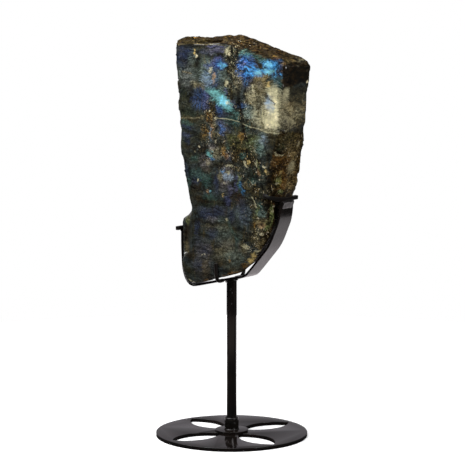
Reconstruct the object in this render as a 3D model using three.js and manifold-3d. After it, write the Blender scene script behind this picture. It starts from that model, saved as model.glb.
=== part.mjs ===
// A polished slab of labradorite held upright in a black steel cradle.
// The cradle is a bent strap with a claw bar across each end and two prongs, on a pipe post
// that stands in a socket on a round base plate with four leaf-shaped openings.
// Millimetres, +Z up. The origin is the middle of the base plate's underside.
// The slab's polished face looks along -Y.
import * as THREE from "three";
import { mergeVertices } from "three/addons/utils/BufferGeometryUtils.js";
import Module from "manifold-3d";

const wasm = await Module();
wasm.setup();

// Driving dimensions of the stand
const GAP = 0.3; // between pieces that are welded or rest on each other
const EDGE_BREAK = 0.5; // small bevel on cut edges
const BASE_RADIUS = 101.6;
const BASE_THICKNESS = 4.8;
const LEAF_INNER = 19.6; // distance of a leaf's inner tip from the axis
const LEAF_OUTER = 95.1;
const LEAF_HALF_WIDTH = 18.9;
const LEAF_COUNT = 4;
const LEAF_TURN = THREE.MathUtils.degToRad(69); // of the first leaf from +X
const HUB_RADIUS = 22.1;
const HUB_THICKNESS = 3;
const SOCKET_RADIUS = 9.5;
const SOCKET_HEIGHT = 16.3;
const SOCKET_CHAMFER = 1.4;
const SOCKET_FILLET = 1.8; // weld at the socket's foot
const POST_RADIUS = 6.8;
const POST_CLEARANCE = 0.3;
const POST_FLARE = 1.2; // weld at the post's top
const STRAP_WIDTH = 30;
const STRAP_THICKNESS = 3;
const STRAP_AT_POST = 212.1; // height of the strap's middle over the post
const STRAP_SLOPE = 0.233; // rise of the strap's bottom towards +X
const BAR_SIZE = 5.2; // square bar of the two claws
const PRONG_RADIUS = 2.5;
const PRONG_BEND = 5;
const PRONG_TOP = 235;

// How finely the stand's curves are cut
const DISC_STEPS = 72;
const LEAF_STEPS = 14; // in each of a leaf's two arcs
const TURNED_STEPS = 40;
const STRAP_STEPS = 60;
const CLAW_STEPS = 16;
const PRONG_SIDES = 10;
const PRONG_STEPS = 14;
const BEND_STEPS = 4; // in a prong's bend

// Middle line of the strap, seen from the front: [x, z]
const STRAP_LEFT = [
  [-70.7, 274],
  [-70.7, 258],
  [-70.1, 240],
  [-69, 225],
  [-66.4, 214],
  [-62.6, 206.6],
  [-57.8, 202],
  [-52, 200.6],
];
const STRAP_RIGHT = [
  [29.5, 219],
  [38.6, 227.6],
  [58, 249.6],
  [65.8, 259],
  [71.6, 268.6],
  [78, 283],
  [82.4, 293.6],
  [84.8, 305],
  [86.2, 320.6],
];

// The claw bars' middle lines: [x, y, z]
const LEFT_CLAW = [
  [-72.5, -23, 277],
  [-72.5, 23, 277],
];
const RIGHT_CLAW = [
  [73.4, -36, 330.4],
  [77.4, -30.6, 327.2],
  [81.2, -21, 325],
  [84.1, -12, 323.8],
  [85.9, 0, 323.3],
  [87, 12, 323.7],
  [87.8, 22, 324.2],
];

// The prongs: where each leaves the strap, how far its upright is from it, and its lean
const PRONGS = {
  front_prong: { side: -1, x: -4.2, reach: 29.8, lean: -0.8 },
  rear_prong: { side: 1, x: -2.5, reach: 32.8, lean: 0 },
};

// The slab has three outlines: its flat front, its shoulder, where the front's broken edge
// turns into the sides, and its back. Each is [x, z] at the corners and follows the tables below.
const FRONT_Y = -27;
const BACK_Y = 30;
const SHOULDER_Y = { left: -13.4, top: -20, right: -16, bottom: -18 };
const CORNERS = {
  bottomLeft: [[-55.5, 207.5], [-56.5, 206.5], [-54, 210]],
  topLeft: [[-69.6, 526], [-73, 528.8], [-73, 529.4]],
  topRight: [[99, 498.6], [102, 498.4], [104.2, 497.4]],
  bottomRight: [[40, 229.6], [40, 232.6], [40, 246]],
};
// Sides: [height, front x, shoulder x, back x]
const LEFT_SIDE = [
  [207, -55.5, -56.5, -52],
  [213, -57.8, -61.4, -56],
  [224, -61.2, -66, -62],
  [233, -61.8, -67.2, -66],
  [241, -60.4, -68, -67],
  [246, -46.4, -68.2, -67.4],
  [262, -45, -68.4, -68],
  [287, -45.8, -69.4, -69.2],
  [291, -46, -67.2, -69],
  [299, -46.4, -55.4, -67],
  [308, -45.6, -54.6, -66],
  [318, -49.4, -56, -66],
  [350, -55.4, -60, -67.4],
  [361, -57.8, -62, -68],
  [370, -58.4, -63, -68.4],
  [379, -63, -66, -69],
  [390, -64, -67, -69],
  [411, -62.6, -67, -70],
  [443, -66.4, -68.6, -71],
  [459, -66, -69, -71.4],
  [488, -69.2, -71, -72.6],
  [496, -71, -72, -73],
  [523, -70.4, -72.8, -73],
];
const RIGHT_SIDE = [
  [233, 43.2, 40.4, 34],
  [238, 49, 44.8, 36],
  [242, 56, 48.2, 38],
  [250, 60, 54.8, 44],
  [262, 61.4, 64.4, 54],
  [272, 62, 70.2, 61],
  [283, 62.6, 75, 67.4],
  [295, 63.4, 77, 72],
  [308, 64.6, 76.2, 76],
  [334, 68.4, 79, 80.9],
  [366, 75, 84.4, 86.4],
  [395, 84, 90.8, 92.2],
  [406, 88, 93.4, 93.8],
  [413, 89.6, 95.2, 92.4],
  [421, 90.2, 96.8, 95.4],
  [452, 93, 98.4, 97.8],
  [462, 95, 98.8, 98],
  [468, 97, 99.2, 100.8],
  [480, 98.2, 100.8, 101.4],
  [496, 99.5, 101.8, 103.8],
];
// Ends: [x, front height, shoulder height, back height]
const BOTTOM_END = [
  [-50, 205.4, 203.2, 206],
  [-36, 206.8, 206, 209],
  [-20, 210, 209.8, 213],
  [-15, 211.6, 211.2, 214.6],
  [-10, 214.6, 213.4, 216.6],
  [-1, 215.8, 215, 221],
  [11.5, 218.5, 218.2, 230],
  [18, 221.4, 220.4, 234],
  [31, 225, 225, 241.4],
  [36, 227.6, 229.4, 244],
];
const TOP_END = [
  [-70, 525, 530.4, 530.4],
  [-64, 525, 532.6, 531.8],
  [-57, 525.2, 533.2, 532.4],
  [-50, 525.3, 532.6, 531.2],
  [-40, 525.3, 531.6, 532],
  [-15, 525, 532.2, 534.8],
  [-9, 524.6, 531.6, 535.8],
  [6.6, 523.4, 528.6, 531.6],
  [21, 521, 525.2, 527.6],
  [36, 513.4, 518.4, 522.8],
  [50, 509.2, 514.2, 517.6],
  [82, 502.8, 506.6, 508.4],
  [94, 500.6, 504.2, 505.4],
  [99, 499.4, 501.4, 503.4],
  [103, 498.8, 498.6, 500],
];
const FRONT_MIDDLE = [0, 250]; // of the front's rings, [x, z]: every place of its outline is in sight of it
const BACK_MIDDLE = [15, 360];

// How finely the slab is meshed, and how deep its broken sides go
const STEPS = { left: 54, top: 32, right: 46, bottom: 20 };
const FRONT_RINGS = [0.9, 0.45];
const SIDE_LAYERS = 7; // from the shoulder to the back
const BACK_RINGS = [0.94, 0.8, 0.6, 0.4, 0.2];
const LEDGE_SIZE = 24;
const LEDGE_COUNT = 6; // heights that the broken surface steps between
const ROUGH = { left: 1.6, top: 3.6, right: 3.2, bottom: 1.4, back: 2.6 };
const CHIP = 0.6; // of the polished face's edge
const CRADLE_TOP = 330; // above it the broken surface goes in and out, below it only in
const SAME_PLACE = 1e-4; // corners closer than this are one

// Value in a column of a table at u, straight between its rows
function along(rows, u, column) {
  if (u <= rows[0][0]) return rows[0][column];
  for (let i = 1; i < rows.length; i++) {
    const [u0, u1] = [rows[i - 1][0], rows[i][0]];
    if (u <= u1) return mix(rows[i - 1][column], rows[i][column], (u - u0) / (u1 - u0));
  }
  return rows[rows.length - 1][column];
}

function mix(a, b, share) {
  return a + (b - a) * share;
}

// Smooth noise from 0 to 1 over space, the same on every run
function cellValue(i, j, k) {
  const n = Math.sin(i * 127.1 + j * 311.7 + k * 74.7) * 43758.5453;
  return n - Math.floor(n);
}

function noise(x, y, z) {
  const [i, j, k] = [Math.floor(x), Math.floor(y), Math.floor(z)];
  const ease = (t) => t * t * (3 - 2 * t);
  const [fx, fy, fz] = [ease(x - i), ease(y - j), ease(z - k)];
  const row = (dj, dk) => mix(cellValue(i, j + dj, k + dk), cellValue(i + 1, j + dj, k + dk), fx);
  return mix(mix(row(0, 0), row(1, 0), fy), mix(row(0, 1), row(1, 1), fy), fz);
}

// Depth of a broken surface from 0 to 1: flat ledges with steps between them
function brokenness(p) {
  const s = LEDGE_SIZE;
  const coarse = noise(p.x / s + 7, p.y / s, p.z / (0.6 * s));
  const fine = noise(p.x / (0.4 * s), p.y / (0.4 * s) + 3, p.z / (0.3 * s));
  const n = mix(coarse, fine, 0.35);
  return mix(n, Math.floor(n * LEDGE_COUNT) / LEDGE_COUNT, 0.6);
}

function solidOf(geometry) {
  const bare = geometry.clone();
  bare.deleteAttribute("normal");
  bare.deleteAttribute("uv");
  const merged = mergeVertices(bare, SAME_PLACE);
  return new wasm.Manifold(
    new wasm.Mesh({
      numProp: 3,
      vertProperties: merged.attributes.position.array,
      triVerts: new Uint32Array(merged.index.array),
    }),
  );
}

function geometryOf(solid) {
  const mesh = solid.getMesh();
  const geometry = new THREE.BufferGeometry();
  geometry.setAttribute("position", new THREE.BufferAttribute(mesh.vertProperties, 3));
  geometry.setIndex(new THREE.BufferAttribute(mesh.triVerts, 1));
  geometry.computeVertexNormals();
  return geometry;
}

// Places on an arc about [x, y], from one angle to another, without its last place
function arcPlaces(x, y, radius, from, to, steps) {
  const places = [];
  for (let i = 0; i < steps; i++) {
    const angle = mix(from, to, i / steps);
    places.push(new THREE.Vector2(x + radius * Math.cos(angle), y + radius * Math.sin(angle)));
  }
  return places;
}

// A round piece about the Z axis, from its outline [radius, height]
function turned(outline) {
  const points = outline.map(([r, h]) => new THREE.Vector2(r, h));
  return new THREE.LatheGeometry(points, TURNED_STEPS).rotateX(Math.PI / 2);
}

// A leaf-shaped opening of two arcs that meet at its tips
function leafHole(turn) {
  const middle = (LEAF_INNER + LEAF_OUTER) / 2;
  const half = (LEAF_OUTER - LEAF_INNER) / 2;
  const radius = (half ** 2 + LEAF_HALF_WIDTH ** 2) / (2 * LEAF_HALF_WIDTH);
  const offset = radius - LEAF_HALF_WIDTH;
  const reach = Math.asin(half / radius);
  const places = [1, -1].flatMap((side) => {
    const x = middle * Math.cos(turn) - side * offset * Math.sin(turn);
    const y = middle * Math.sin(turn) + side * offset * Math.cos(turn);
    const facing = turn - (side * Math.PI) / 2;
    return arcPlaces(x, y, radius + EDGE_BREAK, facing + reach, facing - reach, LEAF_STEPS);
  });
  return new THREE.Path(places);
}

function basePlate() {
  const disc = new THREE.Shape(
    arcPlaces(0, 0, BASE_RADIUS - EDGE_BREAK, 0, 2 * Math.PI, DISC_STEPS),
  );
  for (let i = 0; i < LEAF_COUNT; i++) {
    disc.holes.push(leafHole(LEAF_TURN + (i * 2 * Math.PI) / LEAF_COUNT));
  }
  return new THREE.ExtrudeGeometry(disc, {
    depth: BASE_THICKNESS - 2 * EDGE_BREAK,
    bevelThickness: EDGE_BREAK,
    bevelSize: EDGE_BREAK,
    bevelSegments: 1,
  }).translate(0, 0, EDGE_BREAK);
}

function hubPlate() {
  return turned([
    [0, 0],
    [HUB_RADIUS, 0],
    [HUB_RADIUS, HUB_THICKNESS - EDGE_BREAK],
    [HUB_RADIUS - EDGE_BREAK, HUB_THICKNESS],
    [0, HUB_THICKNESS],
  ]).translate(0, 0, BASE_THICKNESS);
}

function socket() {
  const bore = POST_RADIUS + POST_CLEARANCE;
  return turned([
    [bore, 0],
    [SOCKET_RADIUS + SOCKET_FILLET, 0],
    [SOCKET_RADIUS + 0.3 * SOCKET_FILLET, 0.3 * SOCKET_FILLET],
    [SOCKET_RADIUS, SOCKET_FILLET],
    [SOCKET_RADIUS, SOCKET_HEIGHT - SOCKET_CHAMFER],
    [SOCKET_RADIUS - SOCKET_CHAMFER, SOCKET_HEIGHT],
    [bore, SOCKET_HEIGHT],
    [bore, 0],
  ]).translate(0, 0, BASE_THICKNESS + HUB_THICKNESS);
}

// The post, flared by its weld and cut along the sloping strap over it
function post() {
  const foot = BASE_THICKNESS + HUB_THICKNESS;
  const strapUnderside = STRAP_AT_POST - STRAP_THICKNESS / 2;
  const tall = STRAP_AT_POST + POST_RADIUS;
  const uncut = turned([
    [0, foot],
    [POST_RADIUS, foot],
    [POST_RADIUS, strapUnderside - 4 * POST_FLARE],
    [POST_RADIUS + 0.3 * POST_FLARE, strapUnderside - 2 * POST_FLARE],
    [POST_RADIUS + POST_FLARE, strapUnderside],
    [POST_RADIUS + POST_FLARE, tall],
    [0, tall],
  ]);
  const size = 8 * POST_RADIUS;
  const above = new THREE.BoxGeometry(size, size, size)
    .translate(0, 0, size / 2 - STRAP_THICKNESS / 2 - GAP)
    .rotateY(-Math.atan(STRAP_SLOPE))
    .translate(0, 0, STRAP_AT_POST);
  return geometryOf(solidOf(uncut).subtract(solidOf(above)));
}

function strapHeight(x) {
  return STRAP_AT_POST + STRAP_SLOPE * x;
}

function strapLine() {
  const bottom = [-40, -20, 0, 18].map((x) => [x, strapHeight(x)]);
  const places = [...STRAP_LEFT, ...bottom, ...STRAP_RIGHT];
  return new THREE.SplineCurve(places.map(([x, z]) => new THREE.Vector2(x, z)));
}

// The strap: its middle line given a thickness, then a width along Y
function strap() {
  const line = strapLine();
  const sides = [[], []];
  for (let i = 0; i <= STRAP_STEPS; i++) {
    const p = line.getPointAt(i / STRAP_STEPS);
    const t = line.getTangentAt(i / STRAP_STEPS);
    [1, -1].forEach((side, s) => {
      const off = (side * STRAP_THICKNESS) / 2;
      sides[s].push(new THREE.Vector2(p.x - t.y * off, p.y + t.x * off));
    });
  }
  const outline = new THREE.Shape([...sides[0], ...sides[1].reverse()]);
  return new THREE.ExtrudeGeometry(outline, { depth: STRAP_WIDTH, bevelEnabled: false })
    .rotateX(Math.PI / 2)
    .translate(0, STRAP_WIDTH / 2, 0);
}

// A bar or rod of the given section swept along a line of places
function swept(section, places, steps) {
  const line = new THREE.CatmullRomCurve3(
    places.map((p) => new THREE.Vector3(...p)),
    false,
    "centripetal",
  );
  return new THREE.ExtrudeGeometry(section, { steps, bevelEnabled: false, extrudePath: line });
}

function squareSection() {
  const h = BAR_SIZE / 2;
  const c = h - EDGE_BREAK;
  const corners = [[c, h], [h, c], [h, -c], [c, -h], [-c, -h], [-h, -c], [-h, c], [-c, h]];
  return new THREE.Shape(corners.map(([x, y]) => new THREE.Vector2(x, y)));
}

// A prong leaves the strap's edge, bends and stands against the slab
function prong({ side, x, reach, lean }) {
  const low = strapHeight(x) - GAP;
  const bendAt = (angle) => [
    x,
    side * (reach - PRONG_BEND * (1 - Math.sin(angle))),
    low + PRONG_BEND * (1 - Math.cos(angle)),
  ];
  const bend = Array.from({ length: BEND_STEPS + 1 }, (_, i) =>
    bendAt(((i / BEND_STEPS) * Math.PI) / 2));
  const places = [
    [x, side * (STRAP_WIDTH / 2 + GAP), low],
    ...bend,
    [x + lean, side * reach, PRONG_TOP],
  ];
  const section = new THREE.Shape(arcPlaces(0, 0, PRONG_RADIUS, 2 * Math.PI, 0, PRONG_SIDES));
  return swept(section, places, PRONG_STEPS);
}

// One of the slab's outlines, as a closed loop of places from its bottom left corner round its top
function slabLoop(outline) {
  const corner = (name) => CORNERS[name][outline];
  const run = (side, table, from, to) => {
    const upright = side === "left" || side === "right";
    return Array.from({ length: STEPS[side] }, (_, i) => {
      const share = i / STEPS[side];
      const [x, z] = [mix(from[0], to[0], share), mix(from[1], to[1], share)];
      if (i === 0) return { side, x, z };
      return upright
        ? { side, x: along(table, z, outline + 1), z }
        : { side, x, z: along(table, x, outline + 1) };
    });
  };
  return [
    ...run("left", LEFT_SIDE, corner("bottomLeft"), corner("topLeft")),
    ...run("top", TOP_END, corner("topLeft"), corner("topRight")),
    ...run("right", RIGHT_SIDE, corner("topRight"), corner("bottomRight")),
    ...run("bottom", BOTTOM_END, corner("bottomRight"), corner("bottomLeft")),
  ];
}

// A place moved towards the slab's middle by a share of the given depth
function brokenPlace(p, depth) {
  const inwards = new THREE.Vector3(BACK_MIDDLE[0] - p.x, 0, BACK_MIDDLE[1] - p.z).normalize();
  const middle = p.z > CRADLE_TOP ? 0.5 : 0;
  return p.addScaledVector(inwards, depth * (brokenness(p) - middle));
}

// The slab's rings of places, from the middle of its front, over its edge and sides, to its back
function slabRings() {
  const [front, shoulder, back] = [0, 1, 2].map(slabLoop);
  const facePlace = (place, middle, share, y) =>
    new THREE.Vector3(mix(middle[0], place.x, share), y, mix(middle[1], place.z, share));
  const frontRings = [...FRONT_RINGS].reverse().map((share) =>
    front.map((place) => facePlace(place, FRONT_MIDDLE, share, FRONT_Y)));
  const edge = front.map((place) =>
    brokenPlace(new THREE.Vector3(place.x, FRONT_Y, place.z), CHIP));
  const sideRings = [];
  for (let layer = 0; layer <= SIDE_LAYERS; layer++) {
    const share = layer / SIDE_LAYERS;
    sideRings.push(shoulder.map((near, i) => {
      const far = back[i];
      const y = mix(SHOULDER_Y[near.side], BACK_Y, share);
      const place = new THREE.Vector3(mix(near.x, far.x, share), y, mix(near.z, far.z, share));
      return brokenPlace(place, ROUGH[near.side]);
    }));
  }
  const backRings = BACK_RINGS.map((share) => back.map((place) => {
    const p = facePlace(place, BACK_MIDDLE, share, BACK_Y);
    p.y -= ROUGH.back * brokenness(p);
    return p;
  }));
  return [...frontRings, edge, ...sideRings, ...backRings];
}

function slab() {
  const rings = slabRings();
  const count = rings[0].length;
  const points = rings.flat();
  const frontPole = points.length;
  const backPole = frontPole + 1;
  points.push(new THREE.Vector3(FRONT_MIDDLE[0], FRONT_Y, FRONT_MIDDLE[1]));
  points.push(new THREE.Vector3(BACK_MIDDLE[0], BACK_Y - ROUGH.back / 2, BACK_MIDDLE[1]));
  const last = (rings.length - 1) * count;
  const faces = [];
  for (let i = 0; i < count; i++) {
    const next = (i + 1) % count;
    faces.push(frontPole, next, i);
    for (let ring = 0; ring + 1 < rings.length; ring++) {
      const [a, b] = [ring * count + i, ring * count + next];
      const [c, d] = [a + count, b + count];
      faces.push(a, b, c, b, d, c);
    }
    faces.push(backPole, last + i, last + next);
  }
  const geometry = new THREE.BufferGeometry().setFromPoints(points);
  geometry.setIndex(faces);
  geometry.computeVertexNormals();
  return geometry;
}

const blackSteel = new THREE.MeshStandardMaterial({ color: 0x121112, roughness: 0.25, metalness: 0 });
const labradorite = new THREE.MeshStandardMaterial({ color: 0x2f3a40, roughness: 0.3, metalness: 0 });

const group = new THREE.Group();
function piece(name, geometry, material) {
  const mesh = new THREE.Mesh(geometry, material);
  mesh.name = name;
  group.add(mesh);
}

piece("base_plate", basePlate(), blackSteel);
piece("hub_plate", hubPlate(), blackSteel);
piece("socket", socket(), blackSteel);
piece("post", post(), blackSteel);
piece("cradle_strap", strap(), blackSteel);
piece("left_claw_bar", swept(squareSection(), LEFT_CLAW, 1), blackSteel);
piece("right_claw_bar", swept(squareSection(), RIGHT_CLAW, CLAW_STEPS), blackSteel);
for (const [name, shape] of Object.entries(PRONGS)) {
  piece(name, prong(shape), blackSteel);
}
piece("labradorite", slab(), labradorite);

export default group;
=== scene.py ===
"""A polished labradorite slab in its black steel cradle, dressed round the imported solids.

Laid out as an add-on and run as a script. Lengths are metres unless a name says mm.
"""

import math
from functools import partial

import bpy
import numpy as np
from bpy.props import FloatProperty, FloatVectorProperty, IntProperty, PointerProperty
from mathutils import Color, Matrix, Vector, noise


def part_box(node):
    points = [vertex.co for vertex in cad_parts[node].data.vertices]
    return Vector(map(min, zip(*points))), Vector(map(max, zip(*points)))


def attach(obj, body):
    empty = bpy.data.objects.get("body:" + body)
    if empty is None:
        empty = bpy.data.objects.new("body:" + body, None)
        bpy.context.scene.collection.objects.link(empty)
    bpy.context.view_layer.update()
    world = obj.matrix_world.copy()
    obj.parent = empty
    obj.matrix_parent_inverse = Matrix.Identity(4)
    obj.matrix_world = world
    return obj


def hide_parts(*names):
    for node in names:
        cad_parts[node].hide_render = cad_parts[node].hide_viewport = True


bl_info = {
    "name": "Polished Slab on Stand",
    "version": (1, 0, 0),
    "blender": (4, 5, 0),
    "location": "3D View > Sidebar > Slab",
    "description": "Builds a labradorite slab in a steel cradle from its parts",
    "category": "Object",
}

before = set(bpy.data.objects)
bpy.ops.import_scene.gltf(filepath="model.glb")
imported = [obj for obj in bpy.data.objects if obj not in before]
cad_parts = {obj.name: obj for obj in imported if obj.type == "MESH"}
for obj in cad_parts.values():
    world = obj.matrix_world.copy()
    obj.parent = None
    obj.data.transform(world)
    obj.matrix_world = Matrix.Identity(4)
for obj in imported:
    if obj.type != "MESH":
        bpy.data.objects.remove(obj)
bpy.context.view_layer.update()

MM = 0.001
BODY = "root"

# The stand's shapes, as its solids have them
LEAF_INNER = 19.6 * MM
LEAF_OUTER = 95.1 * MM
LEAF_HALF_WIDTH = 18.9 * MM
LEAF_COUNT = 4
LEAF_TURN = math.radians(69)
POST_RADIUS = 6.8 * MM
SOCKET_RADIUS = 9.5 * MM
SOCKET_CHAMFER = 1.4 * MM
SOCKET_GAP = 0.3 * MM  # round the post
SOCKET_MOUTH = 3 * MM  # depth of the gap that is seen
STRAP_AT_POST = 212.1 * MM
STRAP_SLOPE = 0.233
STRAP_HALF_THICKNESS = 1.5 * MM
STRAP_HALF_WIDTH = 15 * MM
STRAP_GAP = 0.3 * MM  # between the strap and what is welded to it
POST_DRIPS = ((-66, 198, 1.3), (-54, 193, 1.4), (-55, 178, 1.2), (-72, 188, 0.7))  # degrees, mm, mm
WELD_STEPS = 16
LEFT_WELD = (0.2 * MM, 273.6 * MM)  # across from the strap's left end, and the height
RIGHT_WELD = (-0.4 * MM, -0.9 * MM)  # across and up, from the strap's right end
PRONG_WELD = (2.6 * MM, 1.4 * MM)  # half sizes
FILLET_SIZE = (5 * MM, 27 * MM, 9.5 * MM)
FILLET_PLACE = (-1.1 * MM, -5 * MM)  # across and up, from the strap's right end
FILLET_LEAN = 0.36
FILLET_LUMPS = (4 * MM, 0.3 * MM)  # size and height
PRONG_RADIUS = 2.5 * MM
PRONG_BEND = 8.5 * MM
PRONG_BEND_STEPS = 12
PRONG_TOP = 235 * MM
PRONGS = {
    "front_prong": {"side": -1, "x": -4.2 * MM, "reach": 29.8 * MM, "lean": -0.8 * MM},
    "rear_prong": {"side": 1, "x": -2.5 * MM, "reach": 32.8 * MM, "lean": 0},
}
LACQUER_WARMTH = (2.1, 1.5, 1.4)  # times the lacquer's colour where it is dullest
LACQUER_SPREAD = 0.08  # how much rougher it is there

# The photograph's camera: it looks from the right of the polished face, a little down
IMAGE_SIDE = 465
SENSOR = 36
FOCAL_PIXELS = 1885
CAMERA_TURN = math.radians(34)
CAMERA_PITCH = math.radians(6.749)
CAMERA_DISTANCE = 2.487  # along the ground from the post
CAMERA_HEIGHT = 0.568
CAMERA_ASIDE = 0.0011

# Directions along the ground: to the camera, away from it, and roughly to the picture's right
AHEAD = (0.56, -0.83, 0.0)
BEHIND = (-0.56, 0.83, 0.0)
RIGHT = (0.95, 0.31, 0.0)

# What the steel mirrors: the floor under the stand, behind it and before it, and the room
FLOOR_RADIUS = 1.0
FLOOR_UNDER = (0.03, 0.03, 0.03)
FLOOR_BEHIND = (0.85, 0.79, 0.8)
FLOOR_BEFORE = (0.24, 0.2, 0.18)
ROOM_LOW = (0.03, 0.03, 0.031)
ROOM_HIGH = (0.4, 0.4, 0.41)
ROOM_BEHIND = (0.28, 0.265, 0.285)
ROOM_RIGHT = (0.1, 0.1, 0.1)
LIGHTS_AIM = Vector((0.01, 0, 0.3))
# Lights: the setting of the power, the place, and the size
LIGHTS = {
    "key light": ("key_power", (-0.35, -0.55, 1.75), 1.5),
    "side light": ("side_power", (1.5, -0.35, 0.75), 0.7),
    "fill light": ("fill_power", (-1.2, -1.1, 1.3), 0.9),
    "left lamp": ("lamp_power", (-0.17, -1.59, 1.0), 0.09),
    "right lamp": ("lamp_power", (1.54, -0.44, 1.0), 0.09),
}

# The broken surface of the slab, in mm
CHIP_SIZE = 0.36  # of a facet's size
CHIP_DEPTH = 0.35  # of a facet's depth
LUMP_SIZE = 4
LUMP_DEPTH = 0.35
SEAM_HEIGHT = 414  # lower edge of the polished right side, at the front
SEAM_SLOPE = 0.12
HELD_BELOW = (345, 330)  # in the cradle the surface only goes in, so that it stays clear of the strap
# Where the top is lower than the solid's: how much, and its range across and up
TOP_DIPS = (
    (2.4, (10, -30), (506, 532)),
    (1.5, (-60, -70), (500, 532)),
    (3, (86, 104), (470, 500)),
)
FOOT_STEP = 2.6  # how far the foot's left side stands forward
FOOT_AREA = ((-60, -63), (-24, -20), (-4, -9), (296, 288))  # across, y twice, and up
STRIP_AREA = ((-38, -44), (-8, -12), (300, 294))  # a polished strip low on the left: across, y, up
FRONT_FROM = (-20, -24)  # the polished front, along y
BEVEL_FROM = (-20, -40)  # its bevel on the left, across
RIGHT_FROM = (40, 60)  # the polished right side, across
LAYER_WIDTH = 4.2  # of the top's layers, along y
LAYER_LENGTH = 31
WAVE_DEPTH = 0.05  # of the polished sides
WAVE_SIZE = 30
EDGE_CHIP_DEPTH = 0.9
EDGE_CHIP_SIZE = 5.0


def rgb(r, g, b):
    """Scene colour of a display colour given from 0 to 255."""
    return tuple(Color((r / 255, g / 255, b / 255)).from_srgb_to_scene_linear())


# Stone colours, as seen in soft light
STONE = {
    "slate": rgb(46, 47, 40),
    "smoke": rgb(49, 55, 58),
    "night": rgb(22, 22, 19),
    "ebony": rgb(12, 9, 4),
    "bark": rgb(36, 26, 14),
    "olive": rgb(62, 54, 34),
    "rust": rgb(88, 62, 34),
    "tan": rgb(116, 103, 76),
    "beige": rgb(116, 110, 92),
    "cream": rgb(200, 194, 166),
    # White for painted glints, and for the painted highlight near the front's right edge
    "highlight_white": rgb(232, 222, 196),
    "gold": rgb(196, 170, 112),
    "apricot": rgb(170, 138, 108),
    "amber": rgb(134, 98, 46),
    "ash": rgb(100, 96, 102),
    "moss": rgb(104, 112, 74),
    "fern": rgb(34, 42, 32),
    "navy": rgb(34, 42, 70),
    "dusk": rgb(52, 58, 82),
    "violet": rgb(74, 78, 124),
    "royal": rgb(54, 98, 172),
    "azure": rgb(70, 143, 214),
    "ice": rgb(130, 208, 246),
    "aqua": rgb(104, 163, 172),
    "teal": rgb(60, 90, 90),
    "mist": rgb(94, 108, 108),
    "lavender": rgb(142, 160, 188),
}

# Kinds of patch in the stone, with how soft their edges are. A glow is soft, a flash is striped by the
# stone's fine layers, a cloud is broken up, a vein is upright streaks, glitter is small specks, and a
# fleck is a small spot. White, cream and gold glitter and flecks are partly painted glints and partly
# the stone's own specks.
PATCH_EDGES = {
    "glow": 0.5, "flash": 0.4, "cloud": 0.5, "vein": 0.45, "glitter": 0.6, "fleck": 0.5,
}
FACE_Y = -27  # of the polished front, mm
PATCH_DEPTH = 9  # half size of a front patch into the stone, mm
# How the stone's layers bend, and how a patch is pushed about and made ragged, in mm
BEND = 22
BEND_SIZE = 20
DRIFT = (11, 7, 9)
DRIFT_SIZE = 14
RAGGED_ALONG = 15
RAGGED_UPRIGHT = 9
# The polished plane at the top of the right side, with its painted dark reflection, in mm: across, its
# lower and upper edge, their slope
CORNER_FROM = (96, 97.5)
CORNER_FOOT = (470, 474)
CORNER_HEAD = (506, 500)
CORNER_SLOPE = 0.17


def patch(kind, shade, place, size, strength, turn=0):
    """A patch. Two numbers for place and half sizes are across and up, on the polished front."""
    if len(place) == 2:
        (x, z), (width, height) = place, size
        place, size = (x, FACE_Y, z), (width, PATCH_DEPTH, height)
    return kind, shade, place, size, strength, math.radians(turn)


glow, flash, cloud, vein, glitter, fleck = (partial(patch, kind) for kind in PATCH_EDGES)

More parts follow.
